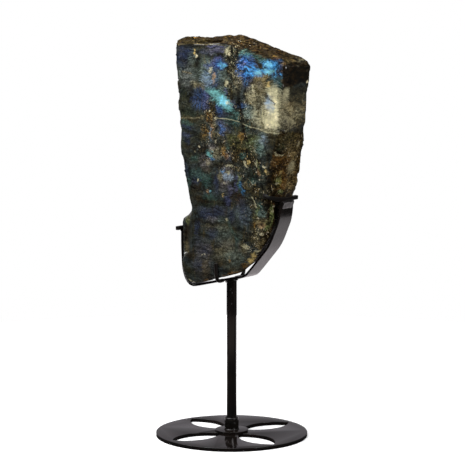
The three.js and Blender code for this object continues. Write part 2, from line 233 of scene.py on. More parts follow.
# Patches of the stone by area, later ones over earlier ones: colour, place and half sizes in mm,
# strength, and turn in degrees
PATCHES = {
    "upper left": (
        glow("navy", (-59, 507), (14, 15), 0.9),
        cloud("night", (-32, 522), (38, 4), 0.75),
        cloud("mist", (-45, 505), (6, 8), 0.45),
        cloud("night", (-35, 494), (6, 12), 0.85, turn=-4),
        cloud("night", (-50, 490), (11, 4), 0.5),
        cloud("mist", (-22, 487), (12, 18), 0.85),
        glitter("tan", (-32, 480), (6, 10), 0.6),
        fleck("beige", (-24, 500), (1.3, 2.7), 0.6),
        fleck("beige", (-18, 501), (1.1, 2.1), 0.6),
        glow("violet", (-22, 495), (5, 3.4), 0.7),
        flash("violet", (-5, 519), (14, 2.5), 0.7, turn=-4),
        flash("violet", (-6, 514), (13, 2.1), 0.6, turn=-2),
        cloud("dusk", (-19, 513), (13, 4), 0.6),
        flash("ash", (-8, 516), (16, 5), 0.35),
        cloud("mist", (1, 482), (14, 8), 0.6),
        flash("royal", (-14, 484), (13, 16), 0.3),
        flash("lavender", (-20, 478), (10, 12), 0.3),
        cloud("night", (1, 490), (14, 1.6), 0.5, turn=-6),
        glow("violet", (-3, 504), (8, 2.7), 0.9),
        glow("violet", (-8, 497), (9, 5), 1, turn=-10),
        glow("royal", (0, 496), (9, 5), 0.9, turn=-14),
        flash("azure", (3, 495), (6, 3), 0.7, turn=-14),
        cloud("aqua", (3, 495), (6, 2.7), 0.5, turn=-14),
        cloud("night", (14, 494), (4, 12), 0.85),
        fleck("gold", (-41, 512), (1.4, 3.6), 0.95, turn=10),
        fleck("highlight_white", (-38, 507), (1.4, 2.0), 0.9, turn=20),
        fleck("cream", (-16, 490), (3.5, 3.8), 0.85, turn=-20),
        fleck("apricot", (-9, 483), (2.8, 4), 0.9),
        fleck("apricot", (-11, 476), (1.4, 4), 0.85),
        glow("cream", (13, 514), (3.4, 4.4), 0.9, turn=20),
        fleck("highlight_white", (16, 511), (1.9, 2.5), 0.95),
        cloud("beige", (8, 514), (2.2, 4), 0.8),
        vein("ebony", (23, 503), (9, 19), 0.6),
        glitter("tan", (24, 498), (10, 26), 0.85),
        glitter("beige", (27, 492), (7, 22), 0.7),
        glitter("cream", (25, 496), (9, 24), 0.8),
        glitter("beige", (26, 508), (9, 14), 0.7),
        vein("night", (23, 469), (8, 15), 0.8),
        cloud("cream", (11, 473), (2.5, 5), 0.75),
        cloud("beige", (17, 469), (1.9, 4), 0.7),
        vein("beige", (27, 478), (7, 16), 0.7),
    ),
    "left of the middle": (
        cloud("slate", (-55, 475), (11, 12), 0.5),
        cloud("mist", (-52, 481), (14, 12), 0.6),
        cloud("ash", (-54, 478), (12, 14), 0.4),
        cloud("beige", (-40, 471), (5, 5), 0.75),
        cloud("tan", (-29, 468), (5, 5), 0.45),
        cloud("fern", (-58, 460), (6, 11), 0.5),
        glow("dusk", (-13, 470), (11, 3.4), 0.7),
        cloud("mist", (3, 464), (9, 4), 0.6),
        glow("violet", (8, 460), (2.5, 5), 0.6),
        glow("dusk", (-30, 451), (14, 14), 0.85),
        vein("royal", (-32, 450), (12, 13), 0.3),
        flash("violet", (-22, 449), (6, 10), 0.55),
        glow("navy", (-42, 453), (6, 8), 0.6),
        cloud("night", (-32, 454), (1.3, 11), 0.5, turn=-3),
        glow("navy", (3, 438), (9, 11), 0.8, turn=20),
        flash("royal", (-2, 440), (5, 8), 0.35),
        glow("aqua", (-10, 460), (11, 6), 0.85, turn=-35),
        glow("aqua", (-2, 453), (13, 8), 1, turn=-38),
        flash("aqua", (12, 444), (11, 6), 0.7, turn=-38),
        flash("teal", (25, 433), (9, 4), 0.8, turn=-35),
        glow("ice", (6, 449), (9, 5), 1, turn=-36),
        fleck("ice", (8, 448), (4, 3), 0.8, turn=-30),
        fleck("highlight_white", (11, 447), (2.8, 2.2), 0.8),
        cloud("dusk", (20, 446), (6, 5), 0.7),
        glitter("gold", (12, 455), (5, 1.8), 0.6, turn=-20),
        cloud("night", (17, 457), (9, 3.4), 0.7, turn=-20),
        cloud("ebony", (-7, 446), (1.9, 10), 0.6),
    ),
    "blue field on the upper right": (
        glow("teal", (41, 511), (9, 6), 0.85),
        glow("aqua", (40, 510), (6, 3.0), 0.6, turn=-30),
        cloud("olive", (45, 505), (9, 2.2), 0.7, turn=-15),
        flash("teal", (62, 505), (13, 3.6), 0.8, turn=-12),
        flash("royal", (40, 493), (13, 15), 1),
        flash("violet", (39, 496), (8, 5), 0.7, turn=-8),
        flash("azure", (47, 489), (10, 8), 0.85, turn=-10),
        glow("navy", (42, 475), (11, 10), 0.8),
        vein("azure", (39, 474), (4, 5), 0.35),
        glow("navy", (86, 493), (11, 15), 0.9),
        vein("azure", (88, 491), (7, 12), 0.6),
        flash("azure", (84, 498), (5, 6), 0.5),
        cloud("night", (88, 495), (1.6, 4), 0.8),
        glow("azure", (75, 497), (9, 5), 1, turn=-20),
        cloud("ice", (76, 498), (5, 3.3), 0.7, turn=-20),
        cloud("bark", (64, 495), (7, 2.7), 0.95, turn=-8),
        fleck("rust", (56, 496), (2.4, 2.7), 0.3),
        glow("azure", (59, 486), (8, 5), 0.9, turn=15),
        glow("ice", (59, 487), (5, 3.0), 0.95, turn=25),
        glow("ice", (73, 489), (6, 3.3), 1, turn=-24),
        glow("azure", (67, 490), (5, 1.9), 0.8),
        cloud("aqua", (80, 490), (3.2, 2.7), 0.5),
        glow("teal", (87, 474), (9, 9), 0.9, turn=25),
        cloud("navy", (87, 475), (6, 6), 0.75, turn=25),
        cloud("mist", (88, 474), (3.5, 3.6), 0.6),
    ),
    "pale clouds under it": (
        flash("tan", (65, 474), (13, 12), 0.8),
        cloud("beige", (59, 469), (8, 8), 0.6),
        glow("dusk", (61, 471), (3.5, 5), 0.45),
        fleck("gold", (75, 472), (1.7, 3.6), 0.95),
        fleck("gold", (73, 470), (1.3, 1.6), 0.7),
        fleck("cream", (51, 469), (2.1, 2.7), 0.7),
        glow("beige", (50, 457), (11, 12), 0.7),
        cloud("cream", (52, 455), (8, 10), 0.35),
        glitter("tan", (41, 450), (3.5, 7), 0.8),
        glow("royal", (37, 443), (8, 3.4), 0.55),
        glow("mist", (47, 436), (9, 10), 0.95),
        glow("cream", (57, 431), (9, 13), 0.4),
        vein("beige", (59, 452), (13, 16), 0.7),
        glow("beige", (60, 456), (12, 14), 0.5),
        # The cream and white patches in the next nine rows are partly a painted highlight, the
        # reflection in the polished bevel at the front's right edge, and partly paler stone
        glow("cream", (81, 457), (11, 14), 0.75),
        vein("cream", (70, 432), (9, 15), 0.6),
        glow("cream", (72, 430), (9, 14), 0.45),
        glow("highlight_white", (82, 438), (9, 19), 0.75),
        glow("cream", (87, 441), (9, 24), 0.95),
        glow("cream", (77, 422), (15, 9), 0.95),
        cloud("highlight_white", (75, 419), (5, 2.7), 0.8, turn=-8),
        cloud("highlight_white", (88, 431), (4, 5), 0.8),
        cloud("highlight_white", (87, 450), (2.4, 4), 0.6),
        glow("lavender", (77, 447), (6, 10), 1, turn=14),
        glow("azure", (76, 451), (3.5, 5), 0.35, turn=14),
        vein("bark", (60, 442), (2.1, 16), 0.9, turn=-2),
        cloud("olive", (68, 437), (1.6, 8), 0.6, turn=6),
        cloud("olive", (65, 418), (2.1, 10), 0.7),
        cloud("bark", (71, 458), (9, 2.1), 0.85, turn=-36),
        cloud("bark", (82, 451), (6, 1.6), 0.85, turn=-34),
        cloud("olive", (58, 464), (9, 2.7), 0.7, turn=-30),
    ),
    "across the middle": (
        cloud("fern", (-47, 433), (16, 7), 0.6),
        cloud("olive", (-48, 425), (14, 3.0), 0.6),
        cloud("tan", (-29, 427), (8, 2.2), 0.5),
        glow("teal", (-53, 419), (10, 4), 0.7),
        glow("navy", (-52, 413), (9, 2.7), 0.9),
        cloud("night", (-48, 408), (14, 1.9), 0.8, turn=-2),
        glow("dusk", (-52, 403), (8, 3.0), 0.9),
        glow("navy", (-50, 395), (4.0, 5), 0.8),
        cloud("olive", (-24, 405), (8, 10), 0.75),
        vein("amber", (-25, 408), (5, 7), 0.45),
        cloud("bark", (-27, 388), (9, 5), 0.6),
        cloud("bark", (-15, 428), (8, 10), 0.8),
        vein("rust", (-16, 428), (5, 7), 0.8),
        glitter("gold", (-15, 429), (6, 8), 0.95),
        fleck("highlight_white", (-17, 436), (1.3, 1.1), 0.9),
        fleck("highlight_white", (-8, 426), (1.3, 2.2), 0.95),
        cloud("beige", (-10, 416), (1.6, 9), 0.8),
        cloud("apricot", (-13, 410), (1.4, 10), 0.7),
        cloud("lavender", (-16, 406), (1.4, 8), 0.65),
        glitter("tan", (-8, 404), (4.0, 5), 0.6),
        fleck("highlight_white", (-7, 397), (1.6, 2.2), 0.95),
        cloud("ebony", (-3, 398), (4, 5), 0.6),
        glow("dusk", (0, 422), (8, 5), 0.9),
        cloud("ash", (4, 416), (9, 9), 0.45),
        flash("royal", (2, 413), (5, 8), 0.55, turn=18),
        flash("teal", (19, 423), (13, 6), 0.85),
        glow("dusk", (17, 411), (9, 3.8), 0.7),
        cloud("olive", (9, 403), (13, 7), 0.5),
        cloud("beige", (-2, 406), (5, 1.6), 0.6, turn=-10),
        cloud("moss", (28, 400), (14, 14), 0.4),
        cloud("bark", (31, 403), (11, 11), 0.6),
        cloud("amber", (33, 405), (6, 5), 0.5, turn=-30),
        cloud("olive", (42, 415), (6, 5), 0.6),
        cloud("teal", (42, 415), (1.9, 7), 0.7, turn=-10),
        glow("mist", (65, 406), (7, 5), 0.6),
        cloud("lavender", (67, 405), (4, 3.6), 0.5),
        glow("moss", (53, 396), (11, 10), 0.55, turn=30),
        flash("mist", (60, 390), (9, 12), 0.8, turn=20),
        vein("teal", (63, 388), (5, 9), 0.6, turn=20),
        flash("lavender", (66, 398), (5, 4), 0.4),
        cloud("fern", (50, 385), (9, 8), 0.4),
        cloud("olive", (79, 403), (7, 10), 0.6),
    ),
    "centre": (
        cloud("bark", (-48, 387), (9, 4), 0.6),
        glitter("olive", (-44, 383), (13, 8), 0.4),
        fleck("highlight_white", (-34, 388), (1.4, 1.2), 0.9),
        fleck("beige", (-41, 381), (1.9, 1.9), 0.7),
        glow("teal", (-39, 373), (8, 3.6), 0.55),
        glow("ash", (-11, 388), (6, 5), 0.75),
        cloud("beige", (-6, 380), (6, 8), 0.75),
        glitter("cream", (-8, 382), (6, 5), 0.75),
        cloud("bark", (6, 385), (7, 11), 0.7, turn=15),
        cloud("amber", (8, 381), (3.8, 8), 0.9, turn=18),
        fleck("tan", (4, 387), (1.9, 3.6), 0.6),
        cloud("aqua", (-17, 380), (6, 3.3), 0.9, turn=-10),
        cloud("azure", (-15, 374), (4, 2.2), 0.5, turn=-10),
        cloud("ash", (-23, 368), (9, 10), 0.7),
        fleck("beige", (-19, 367), (3.2, 2.5), 0.75),
        fleck("ebony", (-20, 376), (2.2, 1.4), 0.8),
        glow("teal", (11, 387), (4, 5), 0.7),
        glow("navy", (13, 377), (5, 7), 0.85),
        cloud("bark", (28, 384), (13, 12), 0.75),
        glitter("gold", (28, 384), (9, 12), 0.6),
        cloud("ebony", (42, 373), (19, 12), 0.7),
        cloud("teal", (36, 379), (5, 5), 0.6),
        cloud("bark", (3, 366), (9, 5), 0.6),
        fleck("cream", (11, 365), (2.5, 1.5), 0.85),
        fleck("cream", (17, 365), (3.2, 1.6), 0.85),
        glitter("bark", (19, 368), (13, 4), 0.5),
    ),
    "lower left": (
        glow("navy", (-55, 356), (5, 10), 0.6),
        cloud("teal", (-37, 352), (11, 7), 0.45),
        cloud("olive", (-21, 359), (9, 5), 0.5),
        glow("dusk", (-40, 344), (8, 6), 0.8),
        glow("teal", (-52, 340), (6, 8), 0.5),
        cloud("teal", (-21, 345), (9, 9), 0.5),
        fleck("cream", (-36, 344), (1.4, 1.8), 0.9),
        glow("bark", (-40, 334), (9, 6), 0.95),
        cloud("bark", (-37, 317), (11, 11), 0.6),
        fleck("slate", (-36, 327), (8, 1.4), 0.6),
        fleck("ice", (-16, 330), (2.1, 1.5), 0.9),
        fleck("apricot", (-20, 331), (2.4, 2.1), 0.75),
        cloud("teal", (-16, 322), (11, 3.6), 0.6),
        cloud("fern", (-21, 311), (16, 3.6), 0.7),
        glow("navy", (-5, 347), (3.5, 12), 0.8),
        glow("dusk", (-6, 335), (4, 8), 0.6),
    ),
    "pale block and what hangs under it": (
        cloud("beige", (2, 352), (6, 7), 0.75),
        glow("ash", (12, 354), (9, 11), 0.85),
        cloud("lavender", (13, 350), (7, 3.8), 0.9),
        cloud("azure", (6, 357), (4.0, 4), 0.4),
        fleck("cream", (13, 356), (2.5, 2.5), 0.75),
        glitter("cream", (3, 347), (3.2, 2.2), 0.6),
        fleck("highlight_white", (7, 342), (1.4, 1.6), 0.9),
        glow("ash", (9, 337), (9, 8), 0.8),
        glow("violet", (16, 333), (4, 7), 0.6),
        glow("violet", (11, 319), (5, 7), 0.75),
        fleck("gold", (4, 326), (1.3, 2.7), 0.85, turn=12),
        cloud("ebony", (21, 347), (2.1, 22), 0.9),
        glow("violet", (25, 338), (2.5, 7), 0.8),
        glow("violet", (26, 350), (2.8, 4), 0.7),
        cloud("moss", (30, 348), (3.8, 5), 0.6),
        flash("azure", (34, 337), (3, 9), 0.5, turn=14),
        cloud("teal", (30, 339), (1.9, 7), 0.7, turn=10),
        cloud("tan", (42, 340), (2.8, 8), 0.6),
        cloud("bark", (28, 325), (9, 8), 0.85),
        glitter("rust", (27, 325), (8, 8), 0.6),
        cloud("teal", (52, 346), (5, 3.3), 0.8, turn=-10),
        cloud("fern", (55, 355), (13, 11), 0.6),
        cloud("olive", (53, 335), (9, 8), 0.6),
        cloud("ash", (34, 318), (4, 3.3), 0.7),
        glitter("tan", (23, 308), (6, 14), 0.45),
        glow("dusk", (34, 306), (12, 15), 0.7),
        cloud("mist", (37, 300), (13, 12), 0.5),
        glow("dusk", (39, 301), (8, 12), 0.8, turn=10),
        glow("dusk", (18, 299), (4, 10), 0.7),
    ),
    "blue band above the foot": (
        cloud("dusk", (-10, 304), (22, 6), 0.75),
        glow("navy", (-24, 298), (11, 5), 0.8),
        cloud("dusk", (-12, 297), (11, 5), 0.9),
        cloud("ash", (-13, 292), (11, 5), 0.55),
        cloud("mist", (1, 292), (8, 5), 0.5),
        fleck("cream", (10, 294), (2.2, 2.2), 0.8),
        cloud("tan", (-5, 282), (22, 5), 0.3),
        cloud("night", (-13, 287), (19, 2.1), 0.85, turn=-4),
        cloud("bark", (-37, 289), (9, 5), 0.6),
        cloud("olive", (12, 284), (9, 7), 0.5),
    ),
    "foot": (
        glow("navy", (-37, 279), (4, 11), 0.8),
        cloud("dusk", (-12, 274), (9, 8), 0.6),
        cloud("mist", (6, 275), (14, 10), 0.5),
        glow("dusk", (-21, 252), (10, 7), 0.85),
        glow("navy", (-34, 257), (6, 11), 0.5),
        fleck("highlight_white", (-25, 246), (1.3, 1.5), 0.95),
        fleck("highlight_white", (-29, 245), (0.8, 0.8), 0.8),
        cloud("ash", (-28, 240), (15, 24), 0.45),
        glow("dusk", (-36, 232), (7, 9), 0.7),
        glow("tan", (-24, 227), (5, 12), 0.4),
        cloud("bark", (-49, 242), (9, 4), 0.7, turn=-4),
        glow("dusk", (6, 261), (13, 7), 0.45),
        cloud("bark", (3, 252), (22, 2.1), 0.6, turn=-10),
        cloud("bark", (34, 252), (19, 2.2), 0.7, turn=-8),
        cloud("beige", (12, 252), (20, 18), 0.5),
        cloud("mist", (22, 243), (16, 12), 0.6),
        fleck("amber", (15, 240), (1.7, 2.5), 0.85),
        fleck("beige", (15, 245), (1.4, 1.4), 0.7),
        cloud("olive", (25, 230), (11, 5), 0.5, turn=14),
        cloud("bark", (3, 237), (11, 5), 0.5),
        cloud("bark", (-21, 217), (16, 5), 0.6),
        cloud("amber", (-21, 211), (6, 1.9), 0.7),
        cloud("amber", (19, 223), (16, 1.6), 0.5, turn=18),
        cloud("mist", (31, 270), (5, 8), 0.4),
        cloud("ash", (29, 260), (1.9, 5), 0.6),
        cloud("beige", (40, 258), (6, 5), 0.85),
        cloud("cream", (41, 260), (3.8, 2.7), 0.7),
    ),
    "right edge of the front": (
        fleck("apricot", (60, 358), (2.5, 4), 0.9),
        fleck("highlight_white", (69, 366), (2.1, 1.4), 0.95),
        fleck("gold", (45, 371), (1.9, 3.3), 1, turn=35),
        fleck("highlight_white", (40, 371), (1.3, 1.4), 0.9),
        fleck("gold", (72, 360), (2.2, 4), 0.9, turn=25),
        fleck("cream", (57, 371), (1.3, 4), 0.8, turn=20),
        fleck("beige", (53, 387), (1.6, 7), 0.6, turn=25),
        cloud("teal", (64, 307), (8, 11), 0.6),
        cloud("moss", (58, 306), (2.2, 11), 0.6, turn=-6),
        fleck("cream", (55, 315), (1.7, 2.7), 0.7),
        cloud("amber", (53, 290), (2.8, 3.0), 0.7),
        cloud("tan", (61, 294), (6, 7), 0.7),
        glitter("gold", (59, 281), (8, 16), 0.55),
        glitter("highlight_white", (60, 272), (7, 18), 0.7),
        cloud("olive", (50, 275), (6, 11), 0.5),
        cloud("gold", (47, 241), (3.8, 5), 0.75, turn=-40),
        cloud("gold", (53, 249), (3.2, 4), 0.75, turn=-30),
        cloud("amber", (41, 234), (5, 4), 0.6, turn=-30),
    ),
    "sides": (
        cloud("olive", (-41, -22, 527), (28, 12, 3), 0.6),
        cloud("mist", (66, -26, 305), (6, 7, 7), 0.75),
        # Painted glints: the cream glitter and the white and cream flecks in the next rows, along the
        # right side's top and back edges
        glitter("cream", (99, 21, 503), (6, 13, 4), 0.8),
        cloud("beige", (98, 20, 503), (6, 13, 5), 0.7),
        fleck("highlight_white", (101, 19, 500), (6, 3.5, 1.5), 1),
        fleck("highlight_white", (103, 2, 497), (6, 3.1, 1.5), 0.95),
        glitter("cream", (102, -13, 499), (6, 7, 1.2), 0.8),
        glitter("cream", (87, 17, 506), (6, 6, 1.6), 0.6),
        fleck("highlight_white", (102, 22, 489), (6, 2.6, 1.8), 0.9),
        fleck("highlight_white", (101, 25, 475), (6, 2.6, 1.6), 0.9),
        fleck("cream", (98, 21, 460), (6, 2.6, 2.2), 0.8),
        fleck("cream", (98, 20, 450), (6, 2.6, 1.9), 0.8),
        cloud("tan", (99, -11, 501), (8, 18, 3.3), 0.5),
        cloud("rust", (99, -24, 484), (6, 2.4, 18), 0.7),
        glow("slate", (99, 2, 458), (13, 29, 12), 0.9),
        cloud("night", (99, 4, 463), (13, 26, 6), 0.6),
        flash("olive", (98, 5, 458), (6, 24, 8), 0.5),
        flash("tan", (98, 4, 438), (6, 34, 18), 0.95),
        flash("beige", (98, -4, 430), (6, 26, 16), 0.9),
        flash("cream", (98, 0, 432), (6, 24, 12), 0.4),
        cloud("cream", (97, -20, 458), (6, 6, 12), 0.7),
        cloud("beige", (95, -21, 443), (6, 9, 19), 0.8),
        cloud("tan", (97, -8, 440), (6, 13, 11), 0.7),
        cloud("slate", (98, 11, 444), (6, 13, 14), 0.6),
        cloud("beige", (97, -17, 422), (6, 11, 8), 0.75),
        glitter("tan", (97, 13, 426), (6, 11, 11), 0.9),
        cloud("cream", (97, 15, 428), (6, 4, 5), 0.5),
        glitter("gold", (96, 13, 423), (6, 7, 7), 0.6),
        cloud("olive", (96, 11, 423), (6, 13, 12), 0.6),
        glow("slate", (92, -9, 401), (8, 18, 11), 0.8),
        cloud("fern", (93, -5, 404), (6, 13, 10), 0.5),
        cloud("ebony", (92, 25, 396), (6, 4.0, 14), 1),
        fleck("highlight_white", (91, 16, 394), (6, 2.2, 3), 1),
        cloud("olive", (91, 0, 400), (8, 30, 13), 0.9),
        vein("tan", (90, 4, 388), (8, 20, 14), 0.6),
        cloud("bark", (86, -19, 386), (8, 18, 8), 0.7),
        cloud("amber", (88, -2, 373), (8, 24, 11), 0.3),
        cloud("tan", (88, 9, 376), (6, 9, 11), 0.7),
        cloud("amber", (84, 2, 350), (8, 24, 15), 0.35),
        vein("ebony", (85, -6, 362), (6, 16, 20), 0.7),
        glitter("gold", (84, -4, 355), (6, 24, 18), 0.7),
        vein("amber", (84, -8, 350), (6, 14, 14), 0.5),
        cloud("fern", (88, -18, 391), (6, 9, 5), 0.7),
        fleck("cream", (87, -18, 382), (6, 5, 1.2), 0.9),
        fleck("cream", (84, -22, 385), (6, 2, 1.2), 0.9),
        cloud("rust", (86, -11, 371), (8, 18, 11), 0.6),
        vein("tan", (88, 15, 373), (6, 7, 11), 0.75),
        cloud("ebony", (85, -14, 365), (6, 9, 7), 0.6),
        cloud("rust", (84, 4, 358), (6, 13, 8), 0.75),
        cloud("cream", (85, 10, 363), (6, 9, 11), 0.5),
        fleck("gold", (83, -10, 358), (6, 3.5, 2.7), 1),
        vein("tan", (85, 20, 358), (6, 4, 8), 0.75),
        cloud("bark", (84, 10, 352), (8, 18, 2.2), 0.9, turn=4),
        cloud("tan", (82, 13, 342), (6, 11, 10), 0.7),
        cloud("rust", (81, 1, 340), (6, 5, 11), 0.7),
        cloud("beige", (82, 27, 341), (6, 2.0, 11), 0.6),
        fleck("moss", (82, -13, 347), (6, 6, 7), 1),
        fleck("highlight_white", (81, -15, 344), (6, 2.6, 1.4), 0.9),
        cloud("ebony", (79, -18, 340), (6, 6, 4), 0.9),
        glitter("beige", (73, -23, 335), (6, 7, 6), 0.8),
        cloud("moss", (80, -4, 332), (6, 7, 3.6), 0.7),
        glitter("moss", (74, -21, 330), (6, 13, 1.9), 0.6),
        cloud("ebony", (71, -22, 315), (6, 7, 5), 0.8),
        # Painted shade: the ebony patch in the next row darkens the side face that lies back from the
        # ridge. The moss patches after it, along the ridge, are partly its painted highlight, partly the
        # stone's green
        cloud("ebony", (76, -7, 304), (6, 6, 16), 0.95),
        cloud("moss", (75, -17, 304), (6, 2.0, 12), 0.9),
        cloud("moss", (73, -9, 287), (6, 2.0, 5), 0.8),
        fleck("highlight_white", (76, -13, 314), (6, 2.2, 1.0), 0.8),
        fleck("cream", (76, -16, 308), (6, 1.5, 1.9), 0.8),
        cloud("moss", (70, -21, 289), (6, 4.0, 7), 0.7),
        cloud("apricot", (65, -25, 289), (6, 4.0, 2.7), 0.7),
        cloud("tan", (66, -25, 295), (6, 6, 5), 0.7),
        fleck("highlight_white", (64, -25, 278), (6, 2.2, 1.6), 0.95),
        cloud("tan", (63, -25, 265), (6, 7, 7), 0.9),
        cloud("ebony", (50, -6, 248), (6, 10, 4), 0.9),
        fleck("cream", (61, -25, 256), (6, 7, 1.1), 0.85, turn=8),
        cloud("bark", (-58, -19, 272), (6, 13, 16), 0.9),
        cloud("tan", (-59, -19, 253), (6, 9, 7), 0.6),
        cloud("moss", (-58, -20, 289), (6, 10, 5), 0.9),
        cloud("beige", (-57, -20, 291), (6, 7, 2.7), 0.6),
        cloud("slate", (98, 5, 456), (9, 20, 10), 0.6),
    ),
}

# Lines drawn in the stone's front: colour, its places [x, z], half width, strength
FRONT_LINES = (
    ("tan", ((-67, 522), (-50, 524), (-32, 523), (-20, 522)), 0.8, 0.5),
    ("beige", ((-20, 523), (-2, 522), (8, 521)), 0.7, 0.45),
    ("beige", ((-62, 425), (-44, 426), (-26, 427)), 0.9, 0.5),
    ("cream", ((-9, 427), (6, 426.5), (18, 425), (30, 423)), 0.55, 0.6),
    ("cream", ((32, 422), (40, 419), (48, 416.5), (60, 415)), 0.6, 0.45),
    ("cream", ((60, 415), (72, 411), (94, 410)), 0.8, 0.4),
    ("night", ((29, 463), (30, 447), (34, 434)), 2.4, 0.9),
    ("night", ((34, 434), (33, 424), (36, 412), (41, 400)), 1.7, 0.85),
    ("night", ((41, 400), (47, 392)), 1.2, 0.6),
    ("night", ((45, 425), (43, 411)), 1.0, 0.6),
    ("tan", ((-60, 487), (-46, 484)), 0.9, 0.6),
    ("teal", ((13, 292), (19, 279), (27, 268), (25, 256)), 2.2, 0.3),
    ("night", ((-60, 437), (-34, 434)), 1.0, 0.5),
    ("bark", ((70, 404), (94, 405)), 0.9, 0.6),
    ("cream", ((37, 371), (42, 365)), 0.9, 0.8),
    ("cream", ((55, 370), (58, 365)), 0.7, 0.6),
    ("moss", ((57, 374), (62, 360)), 0.8, 0.6),
    ("cream", ((50, 326), (55, 318)), 0.6, 0.6),
    ("cream", ((-51, 210), (-44, 207), (-26, 207)), 0.6, 0.6),
)
# Where the stone is cracked through and gets painted glints: [x, z], half sizes. Elsewhere it is calm.
CRACKED_AREAS = (
    ((102, 352), (17, 70)),
    ((24, 500), (16, 62)),
    ((-14, 408), (17, 46)),
    ((24, 380), (40, 30)),
    ((62, 330), (22, 62)),
    ((58, 270), (15, 34)),
    ((40, 450), (18, 34)),
)


def colour_prop(name, description, value):
    return FloatVectorProperty(
        name=name, description=description, default=value, size=3, min=0, max=1, subtype="COLOR"
    )


def length_prop(name, description, value, low, high):
    """A length, its values given in mm."""
    return FloatProperty(
        name=name, description=description, default=value * MM, min=low * MM, max=high * MM,
        subtype="DISTANCE", unit="LENGTH",
    )


def roughness_prop(name, description, value):
    return FloatProperty(
        name=name, description=description, default=value, min=0.02, max=1, subtype="FACTOR"
    )


def power_prop(name, description, value, high=500):
    return FloatProperty(
        name=name, description=description, default=value, min=0, max=high, unit="POWER"
    )


class StoneSettings(bpy.types.PropertyGroup):
    fineness: length_prop("Fineness", "Edge length of the stone's mesh", 1.45, 1, 6)
    facet_size: length_prop("Facet Size", "Size of the larger broken facets", 15, 4, 40)
    facet_depth: length_prop("Facet Depth", "How far the broken facets go in and out", 1.5, 0, 4)
    layer_depth: length_prop(
        "Layer Depth", "Height of the steps between layers on the broken top", 1.6, 0, 4
    )
    body: colour_prop("Body", "The stone's own dark colour", STONE["slate"])
    broken: colour_prop("Broken", "Colour of the broken sides", STONE["bark"])


class SteelSettings(bpy.types.PropertyGroup):
    colour: colour_prop("Lacquer", "Colour of the black lacquer", (0.0045, 0.004, 0.0035))
    gloss_roughness: roughness_prop("Gloss Roughness", "Roughness of the plates, socket and post", 0.06)
    strap_roughness: roughness_prop("Strap Roughness", "Roughness of the less glossy strap", 0.15)
    bar_roughness: roughness_prop("Bar Roughness", "Roughness of the claw bars and prongs", 0.3)
    edge_rounding: length_prop("Edge Rounding", "Radius of the stand's cut edges", 0.5, 0.1, 2)
    weld_radius: length_prop("Weld Radius", "Radius of the weld beads", 1.7, 0.3, 4)
    round_sides: IntProperty(
        name="Round Sides", description="Sides of the stand's round pieces",
        default=128, min=24, max=256,
    )


class StageSettings(bpy.types.PropertyGroup):
    floor_colour: colour_prop("Floor", "Colour of the floor", (0.9, 0.9, 0.9))
    key_power: power_prop("Key Light", "Power of the large light over the stone", 40)
    side_power: power_prop("Side Light", "Power of the light on the right", 10)
    fill_power: power_prop("Fill Light", "Power of the light in front on the left", 10)
    lamp_power: power_prop("Lamps", "Power of each small lamp that gives the glints", 0.6, 50)


class Tree:
    """Adds nodes to a node tree and wires them. A value may be a number, a tuple or a socket."""

    def __init__(self, tree):
        self.tree = tree

    def put(self, socket, value):
        if isinstance(value, bpy.types.NodeSocket):
            self.tree.links.new(value, socket)
        elif socket.type == "RGBA" and len(value) == 3:
            socket.default_value = (*value, 1)
        else:
            socket.default_value = value

    def add(self, kind, inputs=(), **settings):
        node = self.tree.nodes.new(kind)
        for key, value in settings.items():
            setattr(node, key, value)
        for key, value in dict(inputs).items():
            self.put(node.inputs[key], value)
        return node

    def math(self, operation, a, b=0.0, c=0.0):
        return self.add("ShaderNodeMath", {0: a, 1: b, 2: c}, operation=operation).outputs[0]

    def vector(self, operation, a, b=(0, 0, 0)):
        node = self.add("ShaderNodeVectorMath", {0: a, 1: b}, operation=operation)
        return node.outputs["Value" if operation in ("LENGTH", "DOT_PRODUCT", "DISTANCE") else 0]

    def scaled(self, vector, scale):
        return self.add(
            "ShaderNodeVectorMath", {0: vector, "Scale": scale}, operation="SCALE"
        ).outputs[0]

    def mix(self, share, a, b, blend="MIX"):
        node = self.add("ShaderNodeMix", {0: share, 6: a, 7: b}, data_type="RGBA", blend_type=blend)
        return node.outputs[2]

    def blend(self, share, a, b):
        """A number between a and b."""
        return self.add("ShaderNodeMix", {0: share, 2: a, 3: b}, data_type="FLOAT").outputs[0]

    def ramp(self, value, low, high, to_low=0.0, to_high=1.0):
        node = self.add(
            "ShaderNodeMapRange",
            {"Value": value, "From Min": low, "From Max": high, "To Min": to_low, "To Max": to_high},
            interpolation_type="SMOOTHSTEP", clamp=False,
        )
        return node.outputs[0]

    def noise(self, point, scale, detail=2.0, rough=0.5):
        return self.add(
            "ShaderNodeTexNoise",
            {"Vector": point, "Scale": scale, "Detail": detail, "Roughness": rough},
        )

    def stretched(self, point, scale, place):
        inputs = {"Vector": point, "Scale": scale, "Location": place}
        return self.add("ShaderNodeMapping", inputs).outputs[0]

    def bump(self, height, strength, distance):
        inputs = {"Height": height, "Strength": strength, "Distance": distance}
        return self.add("ShaderNodeBump", inputs).outputs[0]

    def group(self, group, inputs):
        node = self.add("ShaderNodeGroup", node_tree=group)
        for key, value in inputs.items():
            self.put(node.inputs[key], value)
        return node.outputs


def new_group(name, inputs, outputs):
    """A shader node group: (its Tree, its input sockets, its output node)."""
    group = bpy.data.node_groups.new(name, "ShaderNodeTree")
    for key, kind in inputs.items():
        group.interface.new_socket(key, in_out="INPUT", socket_type=f"NodeSocket{kind}")
    for key, kind in outputs.items():
        group.interface.new_socket(key, in_out="OUTPUT", socket_type=f"NodeSocket{kind}")
    tree = Tree(group)
    return tree, tree.add("NodeGroupInput").outputs, tree.add("NodeGroupOutput")


